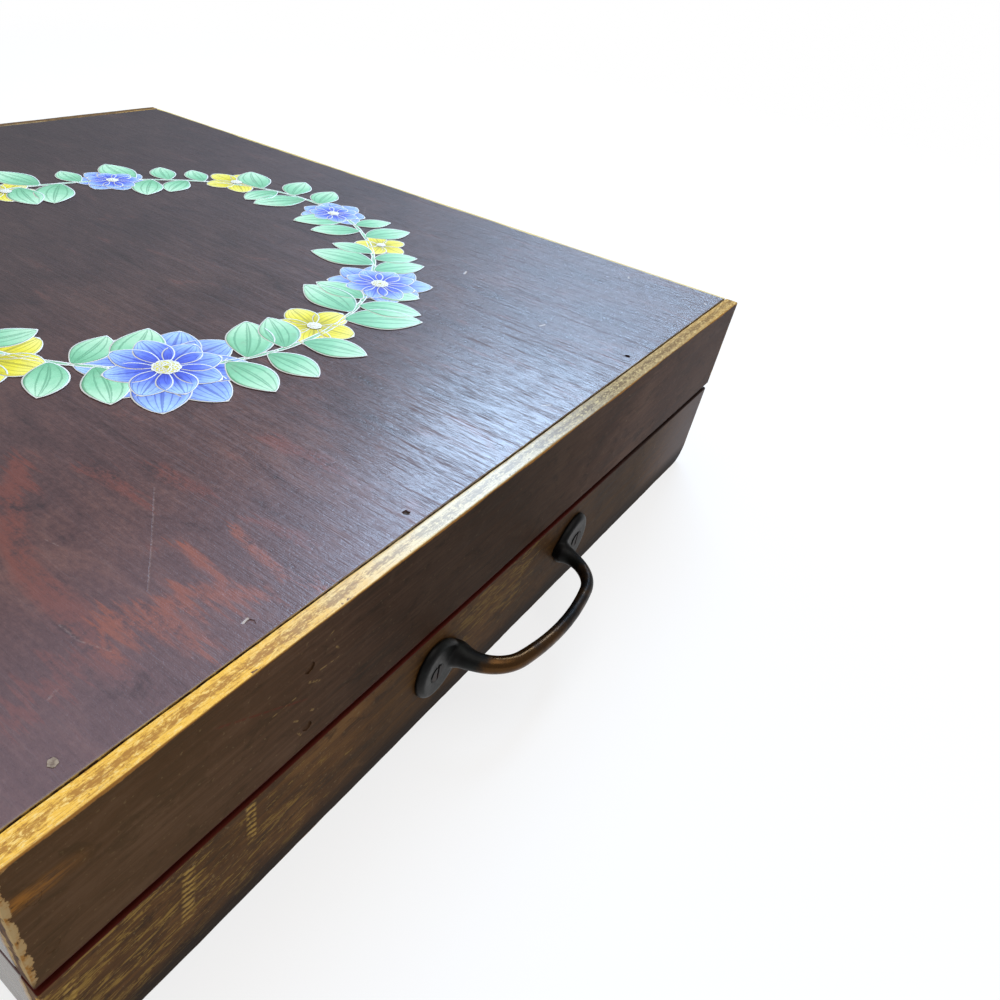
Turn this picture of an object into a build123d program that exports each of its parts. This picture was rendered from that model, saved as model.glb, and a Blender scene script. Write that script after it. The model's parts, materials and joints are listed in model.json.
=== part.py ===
"""Wooden sewing box: a lid hinged to a base, a lift-out tray, spool pegs and a bow handle.

The origin is the middle of the underside. +X runs to the right along the front, which carries the
handle and lies at -Y, and +Z is up. All sizes are in millimetres.
"""
from build123d import *
from math import atan2, degrees, sqrt
import os

# Overall sizes of the closed box
box_width = 394.0
box_depth = 457.0
base_height = 46.2
parting_gap = 2.6
lid_height = 45.7

# Boards of the case
face_board = 6.4
end_board = 12.0
top_panel = 5.0
bottom_panel = 5.0
panel_gap = 0.4
bottom_corner_radius = 10.0
corner_share_of_board = 0.9

# Liner boards inside the base, which rise over its rim as a lip
liner = 3.0
lip_rise = 7.8
lip_clearance = 0.4

# Cleats, battens, glue blocks and posts under the lid's panel
cleat_depth = 12.0
cleat_height = 10.0
batten_width = 30.0
batten_thickness = 8.0
batten_place = 115.0
glue_block = 6.0
post_width = 14.0
post_depth = 9.0
lid_rest_gap = 0.3

# Partitions of the base
partition = 6.0
partition_height = 40.0
partition_place = -60.0
bin_divider = 5.0
bin_divider_place = 62.0
ledge_width = 8.0
ledge_height = 8.0
tray_seat_height = 22.0
peg_board = 6.0
peg_columns = 6
peg_rows = 3
peg_edge_margin = 34.0
peg_radius = 3.0
peg_height = 34.0
peg_depth = 4.0
peg_tip_radius = 1.2

# Tray
tray_seat_gap = 0.3
tray_side_gap = 0.8
tray_wall = 6.0
tray_floor = 3.0
tray_height = 27.7
tray_grip = 8.0
tray_divider = 4.0
tray_divider_drop = 3.0
tray_divider_place = 60.0
grip_slot_length = 74.0
grip_slot_width = 12.0
grip_rail = 5.5

# Nails
nail_radius = 0.8
nail_head_radius = 1.6
nail_head = 0.8
nail_length = 14.0
top_nail_fractions = (-0.973, -0.681, -0.34, -0.057, 0.225, 0.507, 0.74, 0.95)
top_nail_corner_inset = 4.0
end_nail_count = 5
end_nail_corner_inset = 30.0
board_nail_heights = (10.0, 30.0)
base_nail_raise = 3.0
post_nail_height = 8.5
cleat_nail_height = 1.3

# Handle: feet, bar and screws. It sits a little to the left of the middle
handle_place = -1.3
handle_height = 27.8
foot_place = 48.2
foot_width = 24.6
foot_height = 26.8
foot_thickness = 3.2
foot_round = 1.2
bar_radius = 2.8
bar_root_radius = 4.6
bar_root_place = 40.0
bar_root_reach = 5.0
bar_leg_place = 38.5
bar_leg_length = 4.0
bar_corner_radius = 18.0
bar_bow_radius = 110.0
screw_spacing = 102.0
screw_head_radius = 3.3
screw_radius = 1.6
screw_length = 20.0
screw_slot_width = 1.0
screw_slot_depth = 0.9
backing_depth = 12.0
backing_width = 132.0
backing_height = 28.0

# Hinges
hinge_place = 120.0
leaf_length = 38.0
leaf_reach = 18.0
leaf_thickness = 1.6
leaf_relief = 3.5
knuckle_radius = 3.0
knuckle_count = 5
knuckle_gap = 0.3
pin_radius = 1.3
pin_clearance = 0.05
pin_head_radius = 2.2
pin_head = 1.0
hinge_stand_off = 0.3
leaf_screw_place = 11.5
leaf_screw_spacing = 13.0
leaf_screw_radius = 1.2
leaf_screw_head_radius = 2.5
leaf_screw_length = 7.4

# Hooks on the ends, their pivots and the studs that they catch
hook_place = -150.0
hook_pivot_height = 35.0
hook_reach = 24.0
hook_thickness = 1.4
hook_gap = 0.3
hook_eye_radius = 4.6
hook_arm_width = 6.0
hook_claw_radius = 6.5
hook_claw_shift = 0.8
hook_tip_radius = 2.6
hook_tip_drop = 5.4
hook_slot_angle = 40.0
washer_thickness = 0.8
washer_radius = 4.2
pivot_radius = 1.5
pivot_clearance = 0.05
pivot_head_radius = 3.6
pivot_head = 1.8
pivot_depth = 10.0
stud_radius = 1.5
stud_clearance = 0.3
stud_head_radius = 3.0
stud_head = 1.6

# Levels and faces that follow from the sizes above
lid_rim = base_height + parting_gap
lid_top = lid_rim + lid_height
panel_under = lid_top - top_panel
lip_top = base_height + lip_rise
outer_x = box_width / 2
outer_y = box_depth / 2
inner_x = outer_x - end_board
inner_y = outer_y - face_board
liner_x = inner_x - liner
liner_y = inner_y - liner
cleat_under = panel_under - cleat_height
partition_front = partition_place - partition / 2
partition_back = partition_place + partition / 2
peg_board_top = bottom_panel + peg_board
tray_low = tray_seat_height + tray_seat_gap
tray_high = tray_low + tray_height
tray_x = liner_x - tray_side_gap
tray_front_y = partition_back + tray_side_gap
tray_back_y = inner_y - glue_block - tray_side_gap
tray_inner_x = tray_x - tray_wall
tray_inner_front = tray_front_y + tray_wall
tray_inner_back = tray_back_y - tray_wall
tray_mid_y = (tray_front_y + tray_back_y) / 2
tray_floor_top = tray_low + tray_floor
divider_high = tray_high - tray_divider_drop
pin_y = outer_y + hinge_stand_off + knuckle_radius
pin_z = base_height + parting_gap / 2
backing_low = handle_height - backing_height / 2
corner_radius = min(bottom_corner_radius, corner_share_of_board * end_board)
hook_inner_x = outer_x + washer_thickness + hook_gap
hook_outer_x = hook_inner_x + hook_thickness


def block(low, high, mode=Mode.ADD):
    """A rectangular board between two opposite corners."""
    centre = tuple((a + b) / 2 for a, b in zip(low, high))
    with Locations(centre):
        Box(*(b - a for a, b in zip(low, high)), mode=mode)


def stepped_pins(places, steps):
    """Round pins on planes whose normals point out of the wood, as (radius, from, to) steps."""
    for place in places:
        for radius, start, stop in steps:
            with BuildSketch(place.offset(start)) as disc:
                Circle(radius)
            extrude(disc.sketch, amount=stop - start)


def driven_nails(places):
    """Nails with their heads flush with the planes."""
    stepped_pins(places, ((nail_head_radius, -nail_head, 0.0), (nail_radius, -nail_length, -nail_head)))


def countersunk(places, head_radius, radius, length):
    """Countersunk screws with their heads flush with the planes."""
    for place in places:
        with BuildSketch(place) as head:
            Circle(head_radius)
        with BuildSketch(place.offset(radius - head_radius)) as neck:
            Circle(radius)
        loft([head.sketch, neck.sketch])
        extrude(neck.sketch, amount=head_radius - radius - length)


def facing(origin, normal):
    """A plane at a point whose normal is the given direction."""
    return Plane(origin=origin, z_dir=normal)


def along(count, low, high):
    """Evenly spaced places between two limits, both included."""
    return [low + (high - low) * i / (count - 1) for i in range(count)]


# Nails and screws come first, because the boards have their holes
top_nail_reach = inner_x - top_nail_corner_inset
top_nail_y = inner_y - cleat_depth / 2
end_nail_x = outer_x - end_board / 2
end_nail_reach = inner_y - end_nail_corner_inset

with BuildPart() as lid_top_nails:
    rows = [(f * top_nail_reach, side * top_nail_y) for f in top_nail_fractions for side in (-1, 1)]
    ends = [(side * end_nail_x, y) for side in (-1, 1)
            for y in along(end_nail_count, -end_nail_reach, end_nail_reach)]
    driven_nails([facing((x, y, lid_top), (0, 0, 1)) for x, y in rows + ends])

with BuildPart() as lid_board_nails:
    for side in (-1, 1):
        corner = [(s * end_nail_x, lid_rim + h) for s in (-1, 1) for h in board_nail_heights]
        posts = [(s * batten_place, lid_rim + post_nail_height) for s in (-1, 1)]
        cleats = [(s * batten_place, cleat_under + cleat_nail_height) for s in (-1, 1)]
        places = corner + (posts + cleats if side < 0 else [])
        driven_nails([facing((x, side * outer_y, z), (0, side, 0)) for x, z in places])

with BuildPart() as base_board_nails:
    for side in (-1, 1):
        corner = [(s * end_nail_x, base_nail_raise + h) for s in (-1, 1) for h in board_nail_heights]
        driven_nails([facing((x, side * outer_y, z), (0, side, 0)) for x, z in corner])

foot_face_y = -outer_y - foot_thickness
with BuildPart() as handle_screws:
    screw_places = [handle_place + s * screw_spacing / 2 for s in (-1, 1)]
    countersunk([facing((x, foot_face_y, handle_height), (0, -1, 0)) for x in screw_places],
                screw_head_radius, screw_radius, screw_length)
    for x in screw_places:
        block((x - screw_slot_width / 2, foot_face_y, handle_height - screw_head_radius),
              (x + screw_slot_width / 2, foot_face_y + screw_slot_depth, handle_height + screw_head_radius),
              mode=Mode.SUBTRACT)


def leaf_screw_planes(side, up):
    """Screw places on one hinge leaf: side is -1 or 1 along X, up is -1 on the base, 1 on the lid."""
    z = pin_z + up * leaf_screw_place
    return [facing((side * hinge_place + i * leaf_screw_spacing, outer_y + leaf_thickness, z), (0, 1, 0))
            for i in (-1, 0, 1)]


leaf_screw_sizes = (leaf_screw_head_radius, leaf_screw_radius, leaf_screw_length)
with BuildPart() as base_hinge_screws:
    countersunk(leaf_screw_planes(-1, -1) + leaf_screw_planes(1, -1), *leaf_screw_sizes)
with BuildPart() as lid_hinge_screws:
    countersunk(leaf_screw_planes(-1, 1) + leaf_screw_planes(1, 1), *leaf_screw_sizes)

# Hook pivots in the base's ends and headed studs in the lid's ends
stud_height = hook_pivot_height + hook_reach
pivot_planes = [facing((s * outer_x, hook_place, hook_pivot_height), (s, 0, 0)) for s in (-1, 1)]
stud_planes = [facing((s * outer_x, hook_place, stud_height), (s, 0, 0)) for s in (-1, 1)]
head_start = hook_outer_x + hook_gap - outer_x

with BuildPart() as hook_pivot_screws:
    stepped_pins(pivot_planes, ((pivot_radius, -pivot_depth, head_start),
                                (pivot_head_radius, head_start, head_start + pivot_head)))
with BuildPart() as lid_studs:
    stepped_pins(stud_planes, ((stud_radius, -pivot_depth, head_start),
                               (stud_head_radius, head_start, head_start + stud_head)))
with BuildPart() as hook_washers:
    stepped_pins(pivot_planes, ((washer_radius, 0.0, washer_thickness),))
    add(hook_pivot_screws.part, mode=Mode.SUBTRACT)

# Base case: front, back and end boards, with rounded lower corners, and the bottom panel
base_fixings = (base_board_nails, handle_screws, base_hinge_screws, hook_pivot_screws)


def drill(fixings):
    """Cuts the holes of nails, screws and studs out of the current part."""
    for fixing in fixings:
        add(fixing.part, mode=Mode.SUBTRACT)


def base_face_board(low_y):
    """Front or back board of the base, rounded at its two lower corners."""
    with BuildSketch(Plane.XZ.offset(-low_y)) as outline:
        with Locations((0, base_height / 2)):
            Rectangle(box_width, base_height)
        fillet(outline.vertices().group_by(Axis.Y)[0], corner_radius)
    extrude(outline.sketch, amount=-face_board)


with BuildPart() as base_front_board:
    base_face_board(-outer_y)
    drill(base_fixings)
with BuildPart() as base_back_board:
    base_face_board(inner_y)
    drill(base_fixings)

with BuildPart() as base_left_end:
    with BuildSketch(Plane.XZ.offset(-inner_y)) as outline:
        with Locations((-(inner_x + outer_x) / 2, base_height / 2)):
            Rectangle(end_board, base_height)
        fillet(outline.vertices().group_by(Axis.Y)[0].sort_by(Axis.X)[0], corner_radius)
    extrude(amount=2 * inner_y)
    drill(base_fixings)
with BuildPart() as base_right_end:
    mirror(base_left_end.part, about=Plane.YZ)

with BuildPart() as base_bottom_panel:
    block((-inner_x, -inner_y, 0), (inner_x, inner_y, bottom_panel))

# Liner boards: the part over the rim is planed back a little, so that the lid passes over it
with BuildPart() as liner_front:
    block((-inner_x, -inner_y, bottom_panel), (inner_x, -liner_y, lip_top))
    block((-inner_x, -inner_y, base_height), (inner_x, -inner_y + lip_clearance, lip_top), Mode.SUBTRACT)
    for s in (-1, 1):
        block((s * inner_x - lip_clearance, -inner_y, base_height),
              (s * inner_x + lip_clearance, -liner_y, lip_top), Mode.SUBTRACT)
    drill([handle_screws])
with BuildPart() as liner_back:
    block((-inner_x, liner_y, bottom_panel), (inner_x, inner_y, lip_top))
    block((-inner_x, inner_y - lip_clearance, base_height), (inner_x, inner_y, lip_top), Mode.SUBTRACT)
    for s in (-1, 1):
        block((s * inner_x - lip_clearance, liner_y, base_height),
              (s * inner_x + lip_clearance, inner_y, lip_top), Mode.SUBTRACT)
with BuildPart() as liner_left:
    block((-inner_x, -liner_y, bottom_panel), (-liner_x, liner_y, lip_top))
    block((-inner_x, -liner_y, base_height), (-inner_x + lip_clearance, liner_y, lip_top), Mode.SUBTRACT)
with BuildPart() as liner_right:
    mirror(liner_left.part, about=Plane.YZ)

# Partitions, bins under the tray, ledges and the spool pegs in the front well
with BuildPart() as cross_partition:
    block((-liner_x, partition_front, bottom_panel), (liner_x, partition_back, partition_height))
with BuildPart() as bin_divider_left:
    block((-bin_divider_place - bin_divider / 2, partition_back, bottom_panel),
          (-bin_divider_place + bin_divider / 2, liner_y, tray_seat_height))
with BuildPart() as bin_divider_right:
    mirror(bin_divider_left.part, about=Plane.YZ)
with BuildPart() as tray_ledge_left:
    block((-liner_x, partition_back, tray_seat_height - ledge_height),
          (-liner_x + ledge_width, liner_y, tray_seat_height))
with BuildPart() as tray_ledge_right:
    mirror(tray_ledge_left.part, about=Plane.YZ)
with BuildPart() as handle_backing_block:
    block((-backing_width / 2, -liner_y, backing_low),
          (backing_width / 2, -liner_y + backing_depth, backing_low + backing_height))
    drill([handle_screws])

peg_bottom = peg_board_top - peg_depth
peg_places = [(x, y) for x in along(peg_columns, -liner_x + peg_edge_margin, liner_x - peg_edge_margin)
              for y in along(peg_rows, -liner_y + peg_edge_margin, partition_front - peg_edge_margin)]
with BuildPart() as spool_pegs:
    with Locations(*[(x, y, peg_bottom) for x, y in peg_places]):
        Cylinder(peg_radius, peg_depth + peg_height, align=(Align.CENTER, Align.CENTER, Align.MIN))
    fillet(spool_pegs.edges().filter_by(GeomType.CIRCLE).group_by(Axis.Z)[-1], peg_tip_radius)
with BuildPart() as spool_peg_board:
    block((-liner_x, -liner_y, bottom_panel), (liner_x, partition_front, peg_board_top))
    drill([spool_pegs])

# Handle: two oval feet, a flared leg on each and a bar of two corner arcs and a slightly bowed middle
corner_x = bar_leg_place - bar_corner_radius
corner_y = -outer_y - bar_leg_length
bow_centre_y = corner_y + sqrt((bar_bow_radius - bar_corner_radius) ** 2 - corner_x ** 2)
bow_angle = degrees(atan2(corner_x, bow_centre_y - corner_y))
turn = 90.0 - bow_angle
root_end_y = foot_face_y - bar_root_reach
root_end_x = corner_x + sqrt(bar_corner_radius ** 2 - (corner_y - root_end_y) ** 2)

with BuildPart() as handle:
    for s in (-1, 1):
        with BuildSketch(Plane.XZ.offset(outer_y)):
            with Locations((handle_place + s * foot_place, handle_height)):
                Ellipse(foot_width / 2, foot_height / 2)
        extrude(amount=foot_thickness)
    fillet(handle.faces().sort_by(Axis.Y)[:2].edges(), foot_round)
    with BuildLine(Plane.XY.offset(handle_height)) as bar_line:
        CenterArc((handle_place - corner_x, corner_y), bar_corner_radius, 180, turn)
        CenterArc((handle_place, bow_centre_y), bar_bow_radius, 270 - bow_angle, 2 * bow_angle)
        CenterArc((handle_place + corner_x, corner_y), bar_corner_radius, 360 - turn, turn)
    with BuildSketch(Plane(origin=bar_line.line @ 0, z_dir=(0, -1, 0))):
        Circle(bar_radius)
    sweep()
    for s in (-1, 1):
        for x, y, radius in ((bar_root_place, foot_face_y + foot_round, bar_root_radius),
                             (root_end_x, root_end_y, bar_radius)):
            with BuildSketch(Plane.XZ.offset(-y)):
                with Locations((handle_place + s * x, handle_height)):
                    Circle(radius)
        loft()
    drill([handle_screws])

# Hinges: the base leaf has the outer and middle knuckles and holds the pin
knuckle_length = leaf_length / knuckle_count


def hinge_leaf(side, up, knuckles, screws):
    """One leaf on the back face with its knuckles: up is -1 on the base and 1 on the lid."""
    low_x = side * hinge_place - leaf_length / 2
    near = pin_z + up * leaf_relief
    far = pin_z + up * leaf_reach
    block((low_x, outer_y, min(near, far)), (low_x + leaf_length, outer_y + leaf_thickness, max(near, far)))
    for k in knuckles:
        start = low_x + k * knuckle_length + knuckle_gap / 2
        stop = start + knuckle_length - knuckle_gap
        block((start, outer_y, min(near, pin_z)), (stop, outer_y + leaf_thickness, max(near, pin_z)))
        with BuildSketch(Plane(origin=(start, pin_y, pin_z), z_dir=(1, 0, 0))) as knuckle:
            Circle(knuckle_radius)
        extrude(knuckle.sketch, amount=stop - start)
    with BuildSketch(Plane(origin=(low_x, pin_y, pin_z), z_dir=(1, 0, 0))) as bore:
        Circle(pin_radius + pin_clearance)
    extrude(bore.sketch, amount=leaf_length, mode=Mode.SUBTRACT)
    drill([screws])


base_knuckles = range(0, knuckle_count, 2)
lid_knuckles = range(1, knuckle_count, 2)
with BuildPart() as base_hinge_leaf_left:
    hinge_leaf(-1, -1, base_knuckles, base_hinge_screws)
with BuildPart() as base_hinge_leaf_right:
    hinge_leaf(1, -1, base_knuckles, base_hinge_screws)
with BuildPart() as lid_hinge_leaf_left:
    hinge_leaf(-1, 1, lid_knuckles, lid_hinge_screws)
with BuildPart() as lid_hinge_leaf_right:
    hinge_leaf(1, 1, lid_knuckles, lid_hinge_screws)


def hinge_pin(side):
    """A pin through all knuckles with a low head on each end."""
    start = facing((side * hinge_place - leaf_length / 2 + knuckle_gap / 2, pin_y, pin_z), (-1, 0, 0))
    span = leaf_length - knuckle_gap
    stepped_pins([start], ((pin_radius, -span, 0.0), (pin_head_radius, 0.0, pin_head),
                           (pin_head_radius, -span - pin_head, -span)))


with BuildPart() as hinge_pin_left:
    hinge_pin(-1)
with BuildPart() as hinge_pin_right:
    hinge_pin(1)

# Swing hooks, hanging down at rest. The slot is an arc about the pivot and opens to the back
with BuildPart() as hook_right:
    with BuildSketch(Plane(origin=(hook_inner_x, hook_place, hook_pivot_height),
                           x_dir=(0, 1, 0), z_dir=(1, 0, 0))):
        Circle(hook_eye_radius)
        with Locations((0, -hook_reach / 2)):
            Rectangle(hook_arm_width, hook_reach)
        with Locations((hook_claw_shift, -hook_reach)):
            Circle(hook_claw_radius)
        with Locations((0, -hook_reach - hook_tip_drop)):
            Circle(hook_tip_radius)
        Circle(pivot_radius + pivot_clearance, mode=Mode.SUBTRACT)
        with BuildLine() as slot_line:
            CenterArc((0, 0), hook_reach, 270, hook_slot_angle)
        SlotArc(slot_line.line.edge(), 2 * (stud_radius + stud_clearance), mode=Mode.SUBTRACT)
    extrude(amount=hook_thickness)
with BuildPart() as hook_left:
    mirror(hook_right.part, about=Plane.YZ)

# Lid: face boards run up past the panel, which lies over the end boards
lid_fixings = (lid_top_nails, lid_board_nails, lid_hinge_screws, lid_studs)
with BuildPart() as lid_front_board:
    block((-outer_x, -outer_y, lid_rim), (outer_x, -inner_y, lid_top))
    drill(lid_fixings)
with BuildPart() as lid_back_board:
    block((-outer_x, inner_y, lid_rim), (outer_x, outer_y, lid_top))
    drill(lid_fixings)
with BuildPart() as lid_left_end:
    block((-outer_x, -inner_y, lid_rim), (-inner_x, inner_y, panel_under))
    drill(lid_fixings)
with BuildPart() as lid_right_end:
    block((inner_x, -inner_y, lid_rim), (outer_x, inner_y, panel_under))
    drill(lid_fixings)
with BuildPart() as lid_top_panel:
    block((-outer_x, -inner_y + panel_gap, panel_under), (outer_x, inner_y, lid_top))
    drill(lid_fixings)

with BuildPart() as lid_front_cleat:
    block((-inner_x, -inner_y, cleat_under), (inner_x, -inner_y + cleat_depth, panel_under))
    drill(lid_fixings)
with BuildPart() as lid_back_cleat:
    block((-inner_x, inner_y - cleat_depth, cleat_under), (inner_x, inner_y, panel_under))
    drill(lid_fixings)
with BuildPart() as lid_batten_left:
    block((-batten_place - batten_width / 2, -inner_y + cleat_depth, panel_under - batten_thickness),
          (-batten_place + batten_width / 2, inner_y - cleat_depth, panel_under))
with BuildPart() as lid_batten_right:
    mirror(lid_batten_left.part, about=Plane.YZ)
with BuildPart() as lid_front_posts:
    for s in (-1, 1):
        block((s * batten_place - post_width / 2, -inner_y, lip_top + lid_rest_gap),
              (s * batten_place + post_width / 2, -inner_y + post_depth, cleat_under))
    drill(lid_fixings)
with BuildPart() as lid_glue_blocks:
    for sx in (-1, 1):
        for sy in (-1, 1):
            centre = (sx * (inner_x - glue_block / 2), sy * (inner_y - glue_block / 2),
                      (lip_top + lid_rest_gap + cleat_under) / 2)
            with Locations(centre):
                Box(glue_block, glue_block, cleat_under - lip_top - lid_rest_gap)

# Lift-out tray: walls, floor, a middle grip with a finger slot and three dividers
with BuildPart() as tray_floor_panel:
    block((-tray_inner_x, tray_inner_front, tray_low), (tray_inner_x, tray_inner_back, tray_floor_top))
with BuildPart() as tray_front:
    block((-tray_x, tray_front_y, tray_low), (tray_x, tray_inner_front, tray_high))
with BuildPart() as tray_back:
    block((-tray_x, tray_inner_back, tray_low), (tray_x, tray_back_y, tray_high))
with BuildPart() as tray_left_wall:
    block((-tray_x, tray_inner_front, tray_low), (-tray_inner_x, tray_inner_back, tray_high))
with BuildPart() as tray_right_wall:
    mirror(tray_left_wall.part, about=Plane.YZ)
with BuildPart() as tray_grip_divider:
    block((-tray_inner_x, tray_mid_y - tray_grip / 2, tray_floor_top),
          (tray_inner_x, tray_mid_y + tray_grip / 2, tray_high))
    with BuildSketch(Plane.XZ.offset(-tray_mid_y - tray_grip / 2)):
        with Locations((0, tray_high - grip_rail - grip_slot_width / 2)):
            SlotOverall(grip_slot_length, grip_slot_width)
    extrude(amount=tray_grip, mode=Mode.SUBTRACT)
with BuildPart() as tray_divider_left:
    block((-tray_divider_place - tray_divider / 2, tray_inner_front, tray_floor_top),
          (-tray_divider_place + tray_divider / 2, tray_mid_y - tray_grip / 2, divider_high))
with BuildPart() as tray_divider_right:
    mirror(tray_divider_left.part, about=Plane.YZ)
with BuildPart() as tray_divider_back:
    block((tray_divider_place - tray_divider / 2, tray_mid_y + tray_grip / 2, tray_floor_top),
          (tray_divider_place + tray_divider / 2, tray_inner_back, divider_high))

# Every piece is written under its own name
pieces = dict(
    base_front_board=base_front_board, base_back_board=base_back_board, base_left_end=base_left_end,
    base_right_end=base_right_end, base_bottom_panel=base_bottom_panel, liner_front=liner_front,
    liner_back=liner_back, liner_left=liner_left, liner_right=liner_right,
    cross_partition=cross_partition, bin_divider_left=bin_divider_left,
    bin_divider_right=bin_divider_right, tray_ledge_left=tray_ledge_left,
    tray_ledge_right=tray_ledge_right, handle_backing_block=handle_backing_block,
    spool_peg_board=spool_peg_board, spool_pegs=spool_pegs, base_board_nails=base_board_nails,
    handle=handle, handle_screws=handle_screws, base_hinge_leaf_left=base_hinge_leaf_left,
    base_hinge_leaf_right=base_hinge_leaf_right, hinge_pin_left=hinge_pin_left,
    hinge_pin_right=hinge_pin_right, base_hinge_screws=base_hinge_screws,
    hook_pivot_screws=hook_pivot_screws, hook_washers=hook_washers, hook_left=hook_left,
    hook_right=hook_right, lid_front_board=lid_front_board, lid_back_board=lid_back_board,
    lid_left_end=lid_left_end, lid_right_end=lid_right_end, lid_top_panel=lid_top_panel,
    lid_front_cleat=lid_front_cleat, lid_back_cleat=lid_back_cleat, lid_batten_left=lid_batten_left,
    lid_batten_right=lid_batten_right, lid_front_posts=lid_front_posts, lid_glue_blocks=lid_glue_blocks,
    lid_top_nails=lid_top_nails, lid_board_nails=lid_board_nails,
    lid_hinge_leaf_left=lid_hinge_leaf_left, lid_hinge_leaf_right=lid_hinge_leaf_right,
    lid_hinge_screws=lid_hinge_screws, lid_studs=lid_studs, tray_front=tray_front, tray_back=tray_back,
    tray_left_wall=tray_left_wall, tray_right_wall=tray_right_wall, tray_floor_panel=tray_floor_panel,
    tray_grip_divider=tray_grip_divider, tray_divider_left=tray_divider_left,
    tray_divider_right=tray_divider_right, tray_divider_back=tray_divider_back)
os.makedirs("parts", exist_ok=True)
for name, piece in pieces.items():
    piece.part.label = name
    export_step(piece.part, f"parts/{name}.step")
print(len(pieces), "pieces written")
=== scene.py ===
# %% [markdown]
# # A stained plywood sewing box
#
# The box is low and wide: a lid as tall as its base, a cast bow handle, and paper flowers pasted on the
# lid. The packed model already holds every piece at its real place, so this lesson only gives the
# pieces their looks. It starts by loading that model, and takes all sizes from it.

# %% The packed model
import json
from functools import partial, reduce
from math import atan2, ceil, cos, hypot, pi, radians, sin, sqrt
from random import Random

import bmesh
import bpy
from mathutils import Euler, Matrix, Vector
from mathutils.noise import noise as wander

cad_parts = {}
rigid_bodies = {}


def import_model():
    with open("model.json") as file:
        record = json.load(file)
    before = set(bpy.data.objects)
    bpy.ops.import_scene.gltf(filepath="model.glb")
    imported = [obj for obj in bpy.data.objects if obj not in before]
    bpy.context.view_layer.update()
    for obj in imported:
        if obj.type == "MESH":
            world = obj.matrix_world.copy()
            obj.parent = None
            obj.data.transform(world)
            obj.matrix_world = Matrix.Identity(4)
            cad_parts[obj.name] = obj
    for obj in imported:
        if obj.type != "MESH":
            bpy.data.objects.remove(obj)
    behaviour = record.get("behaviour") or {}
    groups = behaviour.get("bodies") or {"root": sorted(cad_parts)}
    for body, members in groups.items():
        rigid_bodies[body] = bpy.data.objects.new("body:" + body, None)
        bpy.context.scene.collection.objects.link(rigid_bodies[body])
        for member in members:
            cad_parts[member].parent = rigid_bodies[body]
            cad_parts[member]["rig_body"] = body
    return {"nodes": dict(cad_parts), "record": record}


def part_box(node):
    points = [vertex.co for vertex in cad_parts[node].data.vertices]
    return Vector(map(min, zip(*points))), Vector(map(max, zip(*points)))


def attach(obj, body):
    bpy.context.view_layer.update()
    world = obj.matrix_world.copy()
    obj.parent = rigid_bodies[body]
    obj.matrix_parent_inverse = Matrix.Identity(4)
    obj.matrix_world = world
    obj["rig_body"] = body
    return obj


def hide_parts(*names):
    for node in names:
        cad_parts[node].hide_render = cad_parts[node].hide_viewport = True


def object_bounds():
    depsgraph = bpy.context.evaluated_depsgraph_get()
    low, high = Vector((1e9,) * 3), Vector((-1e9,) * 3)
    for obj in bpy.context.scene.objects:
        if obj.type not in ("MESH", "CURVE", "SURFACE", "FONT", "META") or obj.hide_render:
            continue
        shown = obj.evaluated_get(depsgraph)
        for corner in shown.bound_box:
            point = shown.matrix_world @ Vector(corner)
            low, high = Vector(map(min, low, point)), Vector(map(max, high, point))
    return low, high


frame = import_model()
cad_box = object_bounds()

mm = 0.001
slot_of = {part["node"]: part["material_slot"] for part in frame["record"]["subparts"]}
body_of = {name: node["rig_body"] for name, node in frame["nodes"].items()}


def box_mm(node):
    """The lowest and highest corner of a packed piece, in millimetres."""
    return [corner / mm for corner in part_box(node)]


def in_scene(name, data):
    """Puts a new object with this mesh, lamp or camera in the scene."""
    made = bpy.data.objects.new(name, data)
    bpy.context.scene.collection.objects.link(made)
    return made


# %% [markdown]
# ## Camera
#
# The photograph was taken from close above the front left corner with a wide lens. The box's edges
# were measured in the picture to find where the lens stood, which way it looked and how wide it saw.
# The picture is cut from a larger one, so its middle isn't the lens's middle. A small shift says so.

# %% Camera at the photograph's place
eye = Vector((-215.6, -317.3, 235.2)) * mm
camera_turns = Euler([radians(angle) for angle in (52.09, -5.956, -52.20)])
camera_data = bpy.data.cameras.new("camera")
camera_data.sensor_width = 36.0
camera_data.lens = 28.39
camera_data.shift_x = 0.0931
camera_data.shift_y = 0.0171
camera_data.clip_start = 10 * mm
camera = in_scene("camera", camera_data)
camera.location = eye
camera.rotation_euler = camera_turns
bpy.context.scene.camera = camera
print("lens", camera_data.lens, "mm,", round((eye.z - cad_box[1][2]) / mm), "mm above the lid")

# %% [markdown]
# ## Materials as sums
#
# A procedural material is a network of small nodes, and most of them only add or multiply. Written
# as Python sums they stay readable, so one small class wraps a node's output and turns each sum into
# a Math node. Everything else, such as a noise or a colour mix, comes from one method that makes any
# kind of node.

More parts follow.
